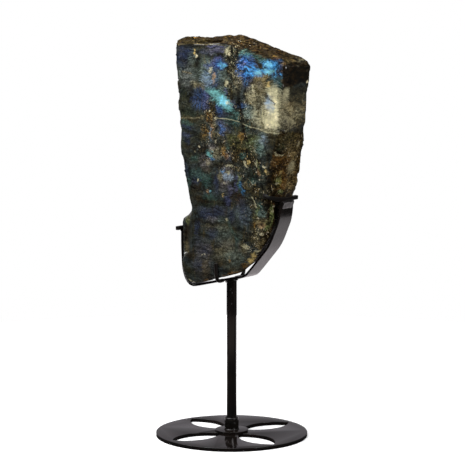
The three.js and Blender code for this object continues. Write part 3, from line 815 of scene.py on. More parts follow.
def patch_group():
    """Mask of a soft-edged patch: its strength in its middle, 0 outside."""
    tree, given, out = new_group(
        "Patch mask",
        {"Point": "Vector", "Middle": "Vector", "Size": "Vector", "Turn": "Float", "Edge": "Float",
         "Strength": "Float"},
        {"Mask": "Float"},
    )
    offset = tree.vector("SUBTRACT", given["Point"], given["Middle"])
    turned = tree.add(
        "ShaderNodeVectorRotate", {"Vector": offset, "Angle": given["Turn"]}, rotation_type="Y_AXIS"
    ).outputs[0]
    reach = tree.vector("LENGTH", tree.vector("DIVIDE", turned, given["Size"]))
    inner = tree.math("SUBTRACT", 1.0, given["Edge"])
    outer = tree.math("ADD", 1.0, given["Edge"])
    tree.put(out.inputs["Mask"], tree.ramp(reach, outer, inner, 0.0, given["Strength"]))
    return tree.tree


def line_group():
    """Mask of a line between two places of the front."""
    tree, given, out = new_group(
        "Line mask",
        {"Point": "Vector", "Start": "Vector", "End": "Vector", "Half Width": "Float"},
        {"Mask": "Float"},
    )
    run = tree.vector("SUBTRACT", given["End"], given["Start"])
    offset = tree.vector("SUBTRACT", given["Point"], given["Start"])
    share = tree.math(
        "DIVIDE", tree.vector("DOT_PRODUCT", offset, run), tree.vector("DOT_PRODUCT", run, run)
    )
    share = tree.math("MAXIMUM", tree.math("MINIMUM", share, 1.0), 0.0)
    nearest = tree.vector("ADD", given["Start"], tree.scaled(run, share))
    gap = tree.vector("DISTANCE", given["Point"], nearest)
    tree.put(out.inputs["Mask"], tree.ramp(gap, given["Half Width"], 0.0))
    return tree.tree


def skin_group():
    """Slight unevenness of a sprayed surface: its height, and how dull it is."""
    tree, given, out = new_group(
        "Sprayed skin", {"Point": "Vector"}, {"Height": "Float", "Dullness": "Float"}
    )
    ripples = tree.noise(given["Point"], 140, 2)
    dust = tree.noise(given["Point"], 2200, 2)
    height = tree.blend(0.12, ripples.outputs[0], dust.outputs[0])
    tree.put(out.inputs["Height"], height)
    clouds = tree.noise(given["Point"], 45, 4, 0.6)
    tree.put(out.inputs["Dullness"], tree.ramp(clouds.outputs[0], 0.35, 0.75))
    return tree.tree


def new_material(name):
    """A material with a Principled shader: (the material, its Tree, its shader, its object point)."""
    material = bpy.data.materials.new(name)
    material.use_nodes = True
    tree = Tree(material.node_tree)
    shader = material.node_tree.nodes["Principled BSDF"]
    point = tree.add("ShaderNodeTexCoord").outputs["Object"]
    return material, tree, shader, point


def black_steel(name, settings, roughness, shine, bump, skin):
    """Black lacquer on steel, a little browner and duller in places."""
    material, tree, shader, point = new_material(name)
    surface = tree.group(skin, {"Point": point})
    warm = tuple(c * f for c, f in zip(settings.colour, LACQUER_WARMTH))
    tree.put(shader.inputs["Base Color"],
             tree.mix(surface["Dullness"], tuple(settings.colour), warm))
    dull = tree.math("MULTIPLY_ADD", surface["Dullness"], LACQUER_SPREAD, roughness)
    tree.put(shader.inputs["Roughness"], dull)
    tree.put(shader.inputs["Normal"], tree.bump(surface["Height"], bump, 0.4 * MM))
    shader.inputs["Specular IOR Level"].default_value = shine
    return material


def streaked(tree, point, size, detail=3.0, rough=0.6, place=(0, 0, 0)):
    """Noise drawn out along the given sizes, in mm, about 0.5."""
    scale = tuple(1 / s for s in size)
    return tree.noise(tree.stretched(point, scale, place), 1.0, detail, rough).outputs[0]


def layered(tree, point):
    """The point in mm, bent as the stone's layers are."""
    bend = tree.vector("SUBTRACT", tree.noise(point, 1 / BEND_SIZE, 2).outputs["Color"], (0.5, 0.5, 0.5))
    return tree.vector("ADD", point, tree.scaled(bend, BEND))


def drifted(tree, point, bent):
    """The point in mm, pushed about so that patches get ragged, layered edges."""
    coarse = tree.noise(point, 1 / DRIFT_SIZE, 2).outputs["Color"]
    drift = tree.vector("MULTIPLY", tree.vector("SUBTRACT", coarse, (0.5, 0.5, 0.5)), DRIFT)
    along = streaked(tree, bent, (26, 20, 1.7))
    along = tree.math("MULTIPLY_ADD", along, RAGGED_ALONG, -RAGGED_ALONG / 2)
    upright = streaked(tree, bent, (1.8, 4, 20))
    upright = tree.math("MULTIPLY_ADD", upright, RAGGED_UPRIGHT, -RAGGED_UPRIGHT / 2)
    ragged = tree.add("ShaderNodeCombineXYZ", {0: along, 2: upright}).outputs[0]
    return tree.vector("ADD", tree.vector("ADD", point, drift), ragged)


def stone_body(tree, point, settings):
    """The polished stone's own colour: slate and smoke in clouds, with darker and browner drifts."""
    clouds = streaked(tree, point, (26, 20, 12), 4)
    colour = tree.mix(tree.ramp(clouds, 0.4, 0.6), tuple(settings.body), STONE["smoke"])
    deep = streaked(tree, point, (11, 12, 14), 4, 0.65, (7, 3, 1))
    colour = tree.mix(tree.ramp(deep, 0.5, 0.64), colour, STONE["night"])
    warm = streaked(tree, point, (8, 12, 24), 4, 0.65, (40, 0, 9))
    colour = tree.mix(tree.ramp(warm, 0.53, 0.66, 0, 0.75), colour, STONE["olive"])
    return colour


def rubble(tree, point, settings):
    """Broken stone: brown crust from near black to tan, in thin sheets on the top."""
    lumps = streaked(tree, point, (7, 7, 5), 6, 0.72)
    sheets = streaked(tree, point, (30, 6, 2.4), 4, 0.7)
    facing = tree.add("ShaderNodeNewGeometry").outputs["Normal"]
    up = tree.ramp(tree.add("ShaderNodeSeparateXYZ", {0: facing}).outputs["Z"], 0.3, 0.7)
    tone = tree.blend(up, lumps, sheets)
    colour = tree.mix(tree.ramp(tone, 0.36, 0.5), STONE["ebony"], tuple(settings.broken))
    colour = tree.mix(tree.ramp(tone, 0.5, 0.58, 0, 0.8), colour, STONE["olive"])
    tip = tree.mix(up, STONE["tan"], STONE["amber"])
    colour = tree.mix(tree.ramp(tone, 0.58, 0.72, 0, 0.8), colour, tip)
    warm = streaked(tree, point, (9, 9, 7), 3, 0.6, (5, 5, 5))
    return tree.mix(tree.ramp(warm, 0.52, 0.7, 0, 0.5), colour, STONE["rust"])


def stone_patterns(tree, point, bent):
    """Masks that break up the patches, by kind of patch."""
    layers = streaked(tree, bent, (22, 12, 2.6), 3, 0.6)
    streaks = streaked(tree, bent, (2.4, 4, 16), 3, 0.6)
    clouds = streaked(tree, point, (5, 5, 5), 5, 0.68)
    specks = streaked(tree, point, (1.7, 1.7, 2.1), 1, 0.5)
    across = streaked(tree, point, (13, 10, 4), 2, 0.5, (6, 1, 2))
    down = streaked(tree, point, (4.5, 6, 15), 2, 0.5, (1, 6, 2))
    plaid = [tree.ramp(bands, 0.36, 0.6, 0.6, 1.0) for bands in (across, down)]
    return {
        "Glow": tree.math("MULTIPLY", *plaid),
        "Flash": tree.ramp(layers, 0.36, 0.54, 0.1, 1.0),
        "Cloud": tree.ramp(clouds, 0.34, 0.56, 0.25, 1),
        "Vein": tree.ramp(streaks, 0.42, 0.58),
        "Fleck": tree.ramp(specks, 0.4, 0.54, 0.25, 1.0),
        "Glitter": tree.math("MULTIPLY", tree.ramp(specks, 0.56, 0.66), tree.ramp(clouds, 0.4, 0.55)),
    }


def patches_group(name, patches, mask_group):
    """Lays an area's patches over the given colour."""
    kinds = {kind.title(): "Float" for kind in PATCH_EDGES}
    tree, given, out = new_group(
        name, {"Colour": "Color", "Drift": "Vector", "Near": "Vector", **kinds}, {"Colour": "Color"}
    )
    colour = given["Colour"]
    for kind, shade, middle, size, strength, turn in patches:
        share = tree.group(mask_group, {
            "Point": given["Near" if kind == "fleck" else "Drift"], "Middle": middle,
            "Size": size, "Turn": turn, "Edge": PATCH_EDGES[kind], "Strength": strength,
        })["Mask"]
        share = tree.math("MULTIPLY", share, given[kind.title()])
        colour = tree.mix(share, colour, STONE[shade])
    tree.put(out.inputs["Colour"], colour)
    return tree.tree


def stone_patches(tree, colour, point, drift, patterns):
    mask_group = patch_group()
    near = tree.vector("ADD", tree.scaled(drift, 0.45), tree.scaled(point, 0.55))
    for name, patches in PATCHES.items():
        group = patches_group(f"Patches, {name}", patches, mask_group)
        colour = tree.group(group, {"Colour": colour, "Drift": drift, "Near": near, **patterns})[0]
    return colour


def painted_corner_reflection(tree, colour, point):
    """Painted dark reflection on the polished plane at the top of the right side, with a crisp edge."""
    x, y, z = tree.add("ShaderNodeSeparateXYZ", {0: point}).outputs
    height = tree.math("SUBTRACT", z, tree.math("MULTIPLY", y, CORNER_SLOPE))
    mask = tree.math("MULTIPLY", tree.ramp(x, *CORNER_FROM), tree.ramp(height, *CORNER_FOOT))
    mask = tree.math("MULTIPLY", mask, tree.ramp(height, *CORNER_HEAD))
    clouds = tree.ramp(streaked(tree, point, (9, 9, 6), 3, 0.6), 0.4, 0.65)
    # Painted dark reflection: ebony and bark over the plane
    dark = tree.mix(clouds, STONE["ebony"], STONE["bark"])
    return tree.mix(tree.math("MULTIPLY", mask, 0.95), colour, dark)


def stone_lines(tree, colour, point):
    group = line_group()
    flat = tree.vector("MULTIPLY", point, (1, 0.25, 1))
    for shade, places, half_width, strength in FRONT_LINES:
        for (x0, z0), (x1, z1) in zip(places, places[1:]):
            mask = tree.group(group, {
                "Point": flat, "Start": (x0, 0.25 * FACE_Y, z0), "End": (x1, 0.25 * FACE_Y, z1),
                "Half Width": 2 * half_width,
            })["Mask"]
            colour = tree.mix(tree.math("MULTIPLY", mask, strength), colour, STONE[shade])
    return colour


def cracked_mask(tree, drift):
    """1 where the stone is cracked and gets painted glints, 0 where it is calm."""
    group = bpy.data.node_groups["Patch mask"]
    cracked = 0.0
    for (x, z), (w, h) in CRACKED_AREAS:
        mask = tree.group(group, {
            "Point": drift, "Middle": (x, 0, z), "Size": (w, 400, h), "Edge": 0.5,
            "Strength": 1.0,
        })["Mask"]
        cracked = tree.math("MAXIMUM", cracked, mask)
    return cracked


def stone_flaws(tree, colour, point, bent, cracked):
    """Dark layers, upright fractures and grain, which darken the stone, painted shade low down, and
    painted glints beside the fractures.
    """
    layers = streaked(tree, bent, (18, 12, 2.0), 3, 0.65, (3, 1, 4))
    shade = tree.ramp(layers, 0.36, 0.58, 0.38, 1.28)
    upright = streaked(tree, bent, (6, 7, 24), 3, 0.65, (8, 8, 8))
    gap = tree.math("ABSOLUTE", tree.math("SUBTRACT", upright, 0.5))
    split = tree.math("MULTIPLY", tree.ramp(gap, 0.03, 0.0), tree.blend(cracked, 0.2, 1.0))
    shade = tree.math("MULTIPLY", shade, tree.ramp(split, 0.0, 1.0, 1.0, 0.25))
    lumps = streaked(tree, point, (3, 6, 3), 3, 0.7)
    low = tree.blend(cracked, 0.68, 0.28)
    high = tree.blend(cracked, 1.34, 2.0)
    rough = tree.ramp(lumps, 0.36, 0.64)
    shade = tree.math("MULTIPLY", shade, tree.blend(rough, low, high))
    grain = tree.noise(point, 1 / 1.7, 2, 0.7).outputs[0]
    strong = tree.ramp(grain, 0.3, 0.7, 0.5, 1.55)
    pale = tree.ramp(tree.add("ShaderNodeRGBToBW", {0: colour}).outputs[0], 0.1, 0.38)
    calm = tree.ramp(shade, 0.2, 1.8, 0.75, 1.25)
    shade = tree.blend(pale, tree.math("MULTIPLY", shade, strong), calm)
    z = tree.add("ShaderNodeSeparateXYZ", {0: point}).outputs["Z"]
    # Painted shade: the stone is darker towards its foot and lighter towards its top, for the light from
    # above
    shade = tree.math("MULTIPLY", shade, tree.ramp(z, 230, 500, 0.86, 1.32))
    red, blue = (tree.math("MULTIPLY", shade, factor) for factor in (1.0, 0.86))
    tint = tree.add("ShaderNodeCombineColor", {0: red, 1: shade, 2: blue}).outputs[0]
    colour = tree.mix(1.0, colour, tint, "MULTIPLY")
    # Painted glints: gold and white specks beside the fractures
    near = tree.math("MULTIPLY", tree.ramp(gap, 0.09, 0.03), cracked)
    few = tree.ramp(streaked(tree, point, (6, 6, 9), 2, 0.5, (4, 4, 4)), 0.53, 0.62)
    fine = tree.ramp(streaked(tree, point, (1.5, 1.5, 2.4), 2, 0.6, (2, 2, 2)), 0.55, 0.63)
    painted_glints = tree.math("MULTIPLY", tree.math("MULTIPLY", near, few), fine)
    spark = tree.mix(tree.ramp(rough, 0.3, 0.7), STONE["gold"], STONE["highlight_white"])
    return tree.mix(painted_glints, colour, spark), grain


def labradorite(settings):
    """Polished labradorite: dark layered stone with flashes inside, dull and brown where broken."""
    material, tree, shader, point = new_material("Labradorite")
    point = tree.scaled(point, 1 / MM)
    broken = tree.add("ShaderNodeAttribute", attribute_name="broken").outputs["Fac"]
    hollow = tree.add("ShaderNodeAttribute", attribute_name="hollow").outputs["Fac"]
    bent = layered(tree, point)
    drift = drifted(tree, point, bent)
    colour = stone_body(tree, point, settings)
    colour = tree.mix(broken, colour, rubble(tree, point, settings))
    colour = stone_patches(tree, colour, point, drift, stone_patterns(tree, point, bent))
    near = tree.vector("ADD", tree.scaled(drift, 0.2), tree.scaled(point, 0.8))
    colour = painted_corner_reflection(tree, colour, near)
    colour = stone_lines(tree, colour, near)
    colour, grain = stone_flaws(tree, colour, point, bent, cracked_mask(tree, drift))
    # Painted shade: the broken stone goes darker, towards ebony, in its hollows
    dim = tree.math("MULTIPLY", tree.ramp(hollow, 0.5, 0.9, 0, 0.75), broken)
    colour = tree.mix(dim, colour, STONE["ebony"])
    tree.put(shader.inputs["Base Color"], colour)

    tree.put(shader.inputs["Roughness"], tree.blend(broken, 0.3, 0.6))
    tree.put(shader.inputs["Coat Weight"], tree.ramp(broken, 0.6, 0.0, 0.03, 1.0))
    tree.put(shader.inputs["Specular IOR Level"], tree.blend(broken, 0.12, 0.03))
    shader.inputs["Coat Roughness"].default_value = 0.07
    relief = tree.math("MULTIPLY", grain, tree.blend(broken, 0.08, 1.0))
    tree.put(shader.inputs["Normal"], tree.bump(relief, 0.5, 0.9 * MM))
    return material


def select_only(piece):
    if bpy.context.object and bpy.context.object.mode != "OBJECT":
        bpy.ops.object.mode_set(mode="OBJECT")
    bpy.ops.object.select_all(action="DESELECT")
    piece.select_set(True)
    bpy.context.view_layer.objects.active = piece


def apply_place(piece):
    select_only(piece)
    bpy.ops.object.transform_apply(location=True, rotation=True, scale=True)


def apply_modifier(piece, kind, **settings):
    select_only(piece)
    modifier = piece.modifiers.new(kind.title(), kind)
    for key, value in settings.items():
        setattr(modifier, key, value)
    bpy.ops.object.modifier_apply(modifier=modifier.name)


def edit_faces(piece, chosen):
    """Opens edit mode with only the faces that chosen(face) takes selected."""
    select_only(piece)
    bpy.ops.object.mode_set(mode="EDIT")
    bpy.ops.mesh.select_all(action="DESELECT")
    bpy.ops.mesh.select_mode(type="FACE")
    bpy.ops.object.mode_set(mode="OBJECT")
    for face in piece.data.polygons:
        face.select = chosen(face)
    bpy.ops.object.mode_set(mode="EDIT")


def edit_all(piece):
    select_only(piece)
    bpy.ops.object.mode_set(mode="EDIT")
    bpy.ops.mesh.select_all(action="SELECT")


def leave_edit():
    bpy.ops.object.mode_set(mode="OBJECT")


def finish_piece(piece, node, material, angle=30):
    """Smooths a piece, gives it its finish and lets it stand for its node."""
    apply_place(piece)
    bpy.ops.object.shade_smooth_by_angle(angle=math.radians(angle))
    piece.data.materials.clear()
    piece.data.materials.append(material)
    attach(piece, BODY)
    if node:
        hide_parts(node)
    return piece


def steel_material(kind):
    """The stand's finishes, made once: gloss for plate and post, satin for the strap, dull for bars."""
    settings = bpy.context.scene.slab_steel
    name = f"Black lacquer, {kind}"
    if name in bpy.data.materials:
        return bpy.data.materials[name]
    skin = bpy.data.node_groups.get("Sprayed skin") or skin_group()
    roughness, shine, bump = {
        "gloss": (settings.gloss_roughness, 0.5, 0.03),
        "satin": (settings.strap_roughness, 0.5, 0.2),
        "dull": (settings.bar_roughness, 0.25, 0.3),
    }[kind]
    return black_steel(name, settings, roughness, shine, bump, skin)


def finish_steel(piece, kind, node=None, angle=60):
    return finish_piece(piece, node, steel_material(kind), angle)


def round_bar(name, radius, bottom, top, sides):
    """An upright round bar on the Z axis."""
    bpy.ops.object.select_all(action="DESELECT")
    bpy.ops.mesh.primitive_cylinder_add(
        vertices=sides, radius=radius, depth=top - bottom, location=(0, 0, (top + bottom) / 2)
    )
    piece = bpy.context.object
    piece.name = piece.data.name = name
    apply_place(piece)
    return piece


def round_edges(piece, width, segments=3, angle=30):
    apply_modifier(
        piece, "BEVEL", width=width, segments=segments, limit_method="ANGLE",
        angle_limit=math.radians(angle), harden_normals=False,
    )


def node_copy(node, name):
    """A merged copy of a node's solid, with its flat faces in one piece."""
    piece = bpy.data.objects.new(name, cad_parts[node].data.copy())
    bpy.context.scene.collection.objects.link(piece)
    edit_all(piece)
    bpy.ops.mesh.remove_doubles(threshold=0.002 * MM)
    bpy.ops.mesh.dissolve_limited(angle_limit=math.radians(0.4))
    leave_edit()
    return piece


def tube(name, places, radius, resolution, swell=None, closed=False):
    """A round bar along a line of places. swell(i) is its thickness at a place, times the radius."""
    data = bpy.data.curves.new(name, "CURVE")
    data.dimensions = "3D"
    data.bevel_depth = radius
    data.bevel_resolution = resolution
    data.use_fill_caps = True
    spline = data.splines.new("POLY")
    spline.points.add(len(places) - 1)
    spline.use_cyclic_u = closed
    for i, (point, place) in enumerate(zip(spline.points, places)):
        point.co = (*place, 1)
        if swell:
            point.radius = swell(i)
    piece = bpy.data.objects.new(name, data)
    bpy.context.scene.collection.objects.link(piece)
    select_only(piece)
    bpy.ops.object.convert(target="MESH")
    return bpy.context.object


def bead(name, places, radius, seed, closed=False):
    """A weld bead along a line of places, with the ripples of its runs."""
    def swell(i):
        lump = noise.noise(Vector((i * 0.7, seed, 0)))
        return 1 + 0.16 * math.sin(2.1 * i + seed) + 0.22 * lump

    return tube(name, places, radius, 5, swell, closed)


def turns(count):
    """Angles of so many places round a circle."""
    return [i * 2 * math.pi / count for i in range(count)]


def ring(radius, height, slope, count):
    """Places round the Z axis, on a plane that rises along x."""
    return [
        Vector((radius * math.cos(a), radius * math.sin(a), height + slope * radius * math.cos(a)))
        for a in turns(count)
    ]


def strap_height(x):
    return STRAP_AT_POST + STRAP_SLOPE * x


class SLAB_OT_base(bpy.types.Operator):
    """Add the round base plate with its leaf-shaped openings, and the small plate on it"""
    bl_idname = "slab.add_base"
    bl_label = "Base Plate"

    def execute(self, context):
        settings = context.scene.slab_steel
        low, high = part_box("base_plate")
        plate = round_bar("base_plate_dressed", high.x, low.z, high.z, 2 * settings.round_sides)
        for turn in turns(LEAF_COUNT):
            leaf = self.leaf(low.z - high.z, 2 * high.z, LEAF_TURN + turn)
            apply_modifier(plate, "BOOLEAN", operation="DIFFERENCE", object=leaf, solver="EXACT")
            bpy.data.objects.remove(leaf)
        round_edges(plate, settings.edge_rounding)
        finish_steel(plate, "gloss", "base_plate", 30)
        low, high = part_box("hub_plate")
        hub = round_bar("hub_plate_dressed", high.x, low.z, high.z, settings.round_sides)
        round_edges(hub, 0.4 * settings.edge_rounding)
        finish_steel(hub, "gloss", "hub_plate", 30)
        return {"FINISHED"}

    def leaf(self, bottom, top, turn):
        """A leaf-shaped block: what two round bars have in common."""
        middle = (LEAF_INNER + LEAF_OUTER) / 2
        half = (LEAF_OUTER - LEAF_INNER) / 2
        radius = (half ** 2 + LEAF_HALF_WIDTH ** 2) / (2 * LEAF_HALF_WIDTH)
        sides = 2 * bpy.context.scene.slab_steel.round_sides
        bars = []
        for side in (1, -1):
            bar = round_bar("leaf", radius, bottom, top, sides)
            offset = side * (radius - LEAF_HALF_WIDTH)
            bar.location = (
                middle * math.cos(turn) - offset * math.sin(turn),
                middle * math.sin(turn) + offset * math.cos(turn),
                0,
            )
            apply_place(bar)
            bars.append(bar)
        apply_modifier(bars[0], "BOOLEAN", operation="INTERSECT", object=bars[1], solver="EXACT")
        bpy.data.objects.remove(bars[1])
        return bars[0]


class SLAB_OT_post(bpy.types.Operator):
    """Add the post and the socket it stands in, with their welds"""
    bl_idname = "slab.add_post"
    bl_label = "Post and Socket"

    def execute(self, context):
        self.add_socket(context.scene.slab_steel)
        self.add_post(context.scene.slab_steel)
        return {"FINISHED"}

    def add_socket(self, settings):
        low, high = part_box("socket")
        piece = round_bar("socket_dressed", SOCKET_RADIUS, low.z, high.z, settings.round_sides)
        top = high.z - 0.01 * MM
        edit_faces(piece, lambda face: face.center.z > top)
        bpy.ops.mesh.inset(thickness=SOCKET_RADIUS - POST_RADIUS - SOCKET_GAP, depth=0)
        bpy.ops.mesh.extrude_region_move(TRANSFORM_OT_translate={"value": (0, 0, -SOCKET_MOUTH)})
        leave_edit()
        apply_modifier(piece, "BEVEL", width=SOCKET_CHAMFER, segments=3, limit_method="ANGLE",
                       angle_limit=math.radians(60), profile=0.5)
        finish_steel(piece, "gloss", "socket", 30)
        foot = ring(SOCKET_RADIUS, low.z + 0.2 * MM, 0, 26)
        weld = bead("socket_weld", foot, 0.6 * settings.weld_radius, 3, closed=True)
        finish_steel(weld, "gloss")

    def add_post(self, settings):
        """The post is made too high and cut off along the strap."""
        low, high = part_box("post")
        piece = round_bar("post_dressed", POST_RADIUS, low.z, high.z + 4 * MM, settings.round_sides)
        edit_all(piece)
        slope = Vector((-STRAP_SLOPE, 0, 1)).normalized()
        underside = Vector((0, 0, STRAP_AT_POST)) - slope * (STRAP_HALF_THICKNESS + STRAP_GAP)
        bpy.ops.mesh.bisect(
            plane_co=underside, plane_no=slope, use_fill=True, clear_outer=True, clear_inner=False
        )
        leave_edit()
        round_edges(piece, 0.2 * MM, 1)
        for turn, z, size in POST_DRIPS:
            self.drip(piece, math.radians(turn), z * MM, size * MM)
        finish_steel(piece, "gloss", "post", 40)
        top = ring(POST_RADIUS + 0.2 * MM, 0, STRAP_SLOPE, 34)
        top = [place + Vector((0, 0, underside.z - 0.9 * MM)) for place in top]
        weld = bead("post_weld", top, 0.9 * settings.weld_radius, 8, closed=True)
        finish_steel(weld, "gloss")

    def drip(self, post, turn, height, size):
        """A small run of lacquer on the post."""
        bpy.ops.object.select_all(action="DESELECT")
        bpy.ops.mesh.primitive_ico_sphere_add(subdivisions=3, radius=size)
        drop = bpy.context.object
        drop.scale = (0.7, 0.75, 1.3)
        drop.rotation_euler = (0, 0, turn)
        reach = POST_RADIUS - 0.15 * size
        drop.location = (reach * math.cos(turn), reach * math.sin(turn), height)
        apply_place(drop)
        select_only(post)
        drop.select_set(True)
        bpy.ops.object.join()


class SLAB_OT_cradle(bpy.types.Operator):
    """Add the bent strap, the claw bars across its ends and their welds"""
    bl_idname = "slab.add_cradle"
    bl_label = "Cradle"

    def execute(self, context):
        settings = context.scene.slab_steel
        strap = node_copy("cradle_strap", "cradle_strap_dressed")
        round_edges(strap, 0.45 * MM, 2)
        finish_steel(strap, "satin", "cradle_strap", 25)
        for node in ("left_claw_bar", "right_claw_bar"):
            bar = node_copy(node, node + "_dressed")
            round_edges(bar, 0.3 * MM, 2, 20)
            finish_steel(bar, "dull", node, 25)
        self.add_welds(settings)
        return {"FINISHED"}

    def add_welds(self, settings):
        half = STRAP_HALF_WIDTH - 1 * MM
        places = [-half + 2 * half * i / (WELD_STEPS - 1) for i in range(WELD_STEPS)]
        left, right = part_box("cradle_strap")
        out, height = LEFT_WELD
        across, up = RIGHT_WELD
        lines = {
            "right_claw_weld": [Vector((right.x + across, y, right.z + up)) for y in places],
            "left_claw_weld": [Vector((left.x + out, y, height)) for y in places],
        }
        for seed, (name, line) in enumerate(lines.items()):
            weld = bead(name, line, settings.weld_radius, 5 + seed)
            finish_steel(weld, "satin")
        self.add_fillet(right)

    def add_fillet(self, corner):
        """The lumpy fillet under the right claw bar, on the strap's outer face."""
        bpy.ops.object.select_all(action="DESELECT")
        bpy.ops.mesh.primitive_cube_add(size=1)
        piece = bpy.context.object
        piece.name = piece.data.name = "right_claw_fillet"
        piece.scale = FILLET_SIZE
        apply_place(piece)
        edit_all(piece)
        bpy.ops.mesh.subdivide(number_cuts=6)
        bpy.ops.mesh.vertices_smooth(factor=0.5, repeat=2)
        leave_edit()
        apply_modifier(piece, "SUBSURF", levels=2)
        size, height = FILLET_LUMPS
        for vertex in piece.data.vertices:
            lump = noise.noise(vertex.co / size)
            vertex.co += vertex.normal * lump * height
            vertex.co.x += FILLET_LEAN * vertex.co.z
        across, up = FILLET_PLACE
        piece.location = (corner.x + across, 0, corner.z + up)
        finish_steel(piece, "satin")


class SLAB_OT_prongs(bpy.types.Operator):
    """Add the two round prongs that hold the stone from the front and from behind"""
    bl_idname = "slab.add_prongs"
    bl_label = "Prongs"

    def execute(self, context):
        width, height = PRONG_WELD
        for seed, (node, shape) in enumerate(PRONGS.items()):
            piece = self.prong(node + "_dressed", **shape)
            finish_steel(piece, "dull", node, 40)
            low = strap_height(shape["x"])
            y = shape["side"] * (STRAP_HALF_WIDTH + 0.2 * MM)
            arc = [
                Vector((shape["x"] + width * math.cos(a), y, low + height * math.sin(a)))
                for a in turns(14)
            ]
            weld = bead(node + "_weld", arc, 0.45 * context.scene.slab_steel.weld_radius, seed, True)
            finish_steel(weld, "gloss")
        return {"FINISHED"}

    def prong(self, name, side, x, reach, lean):
        """A round rod: out from the strap's edge, round a bend and up."""
        low = strap_height(x) - STRAP_GAP
        places = [Vector((x, side * (STRAP_HALF_WIDTH + STRAP_GAP), low))]
        for i in range(PRONG_BEND_STEPS + 1):
            angle = i / PRONG_BEND_STEPS * math.pi / 2
            places.append(Vector((
                x,
                side * (reach - PRONG_BEND * (1 - math.sin(angle))),
                low + PRONG_BEND * (1 - math.cos(angle)),
            )))
        places.append(Vector((x + lean, side * reach, PRONG_TOP)))
        piece = tube(name, places, PRONG_RADIUS, 8)
        round_edges(piece, 0.5 * MM, 3, 60)
        return piece


def step(low, high, values):
    """0 below low, 1 above high, smooth between."""
    share = np.clip((values - low) / (high - low), 0, 1)
    return share * share * (3 - 2 * share)


def inside(area, *values):
    """1 past the end of each of an area's ranges, 0 before its start."""
    share = 1
    for (low, high), value in zip(area, values):
        share = share * step(low, high, value)
    return share


def facet_depths(points, size):
    """Depth of a surface broken into flat tilted facets, about 0, for each point in mm."""
    depths = np.zeros(len(points))
    for i, p in enumerate(points):
        place = Vector(p) / size
        seed = noise.voronoi(place)[1][0]
        tilt = noise.cell_vector(seed * 37.0) * 2 - Vector((1, 1, 1))
        depths[i] = noise.cell(seed * 53.0) - 0.5 + 0.9 * tilt.dot(place - seed)
    return depths


def soft_noise(points, size, detail=2):
    return np.array([noise.fractal(Vector(p) / size, 0.9, 2.1, detail) for p in points])


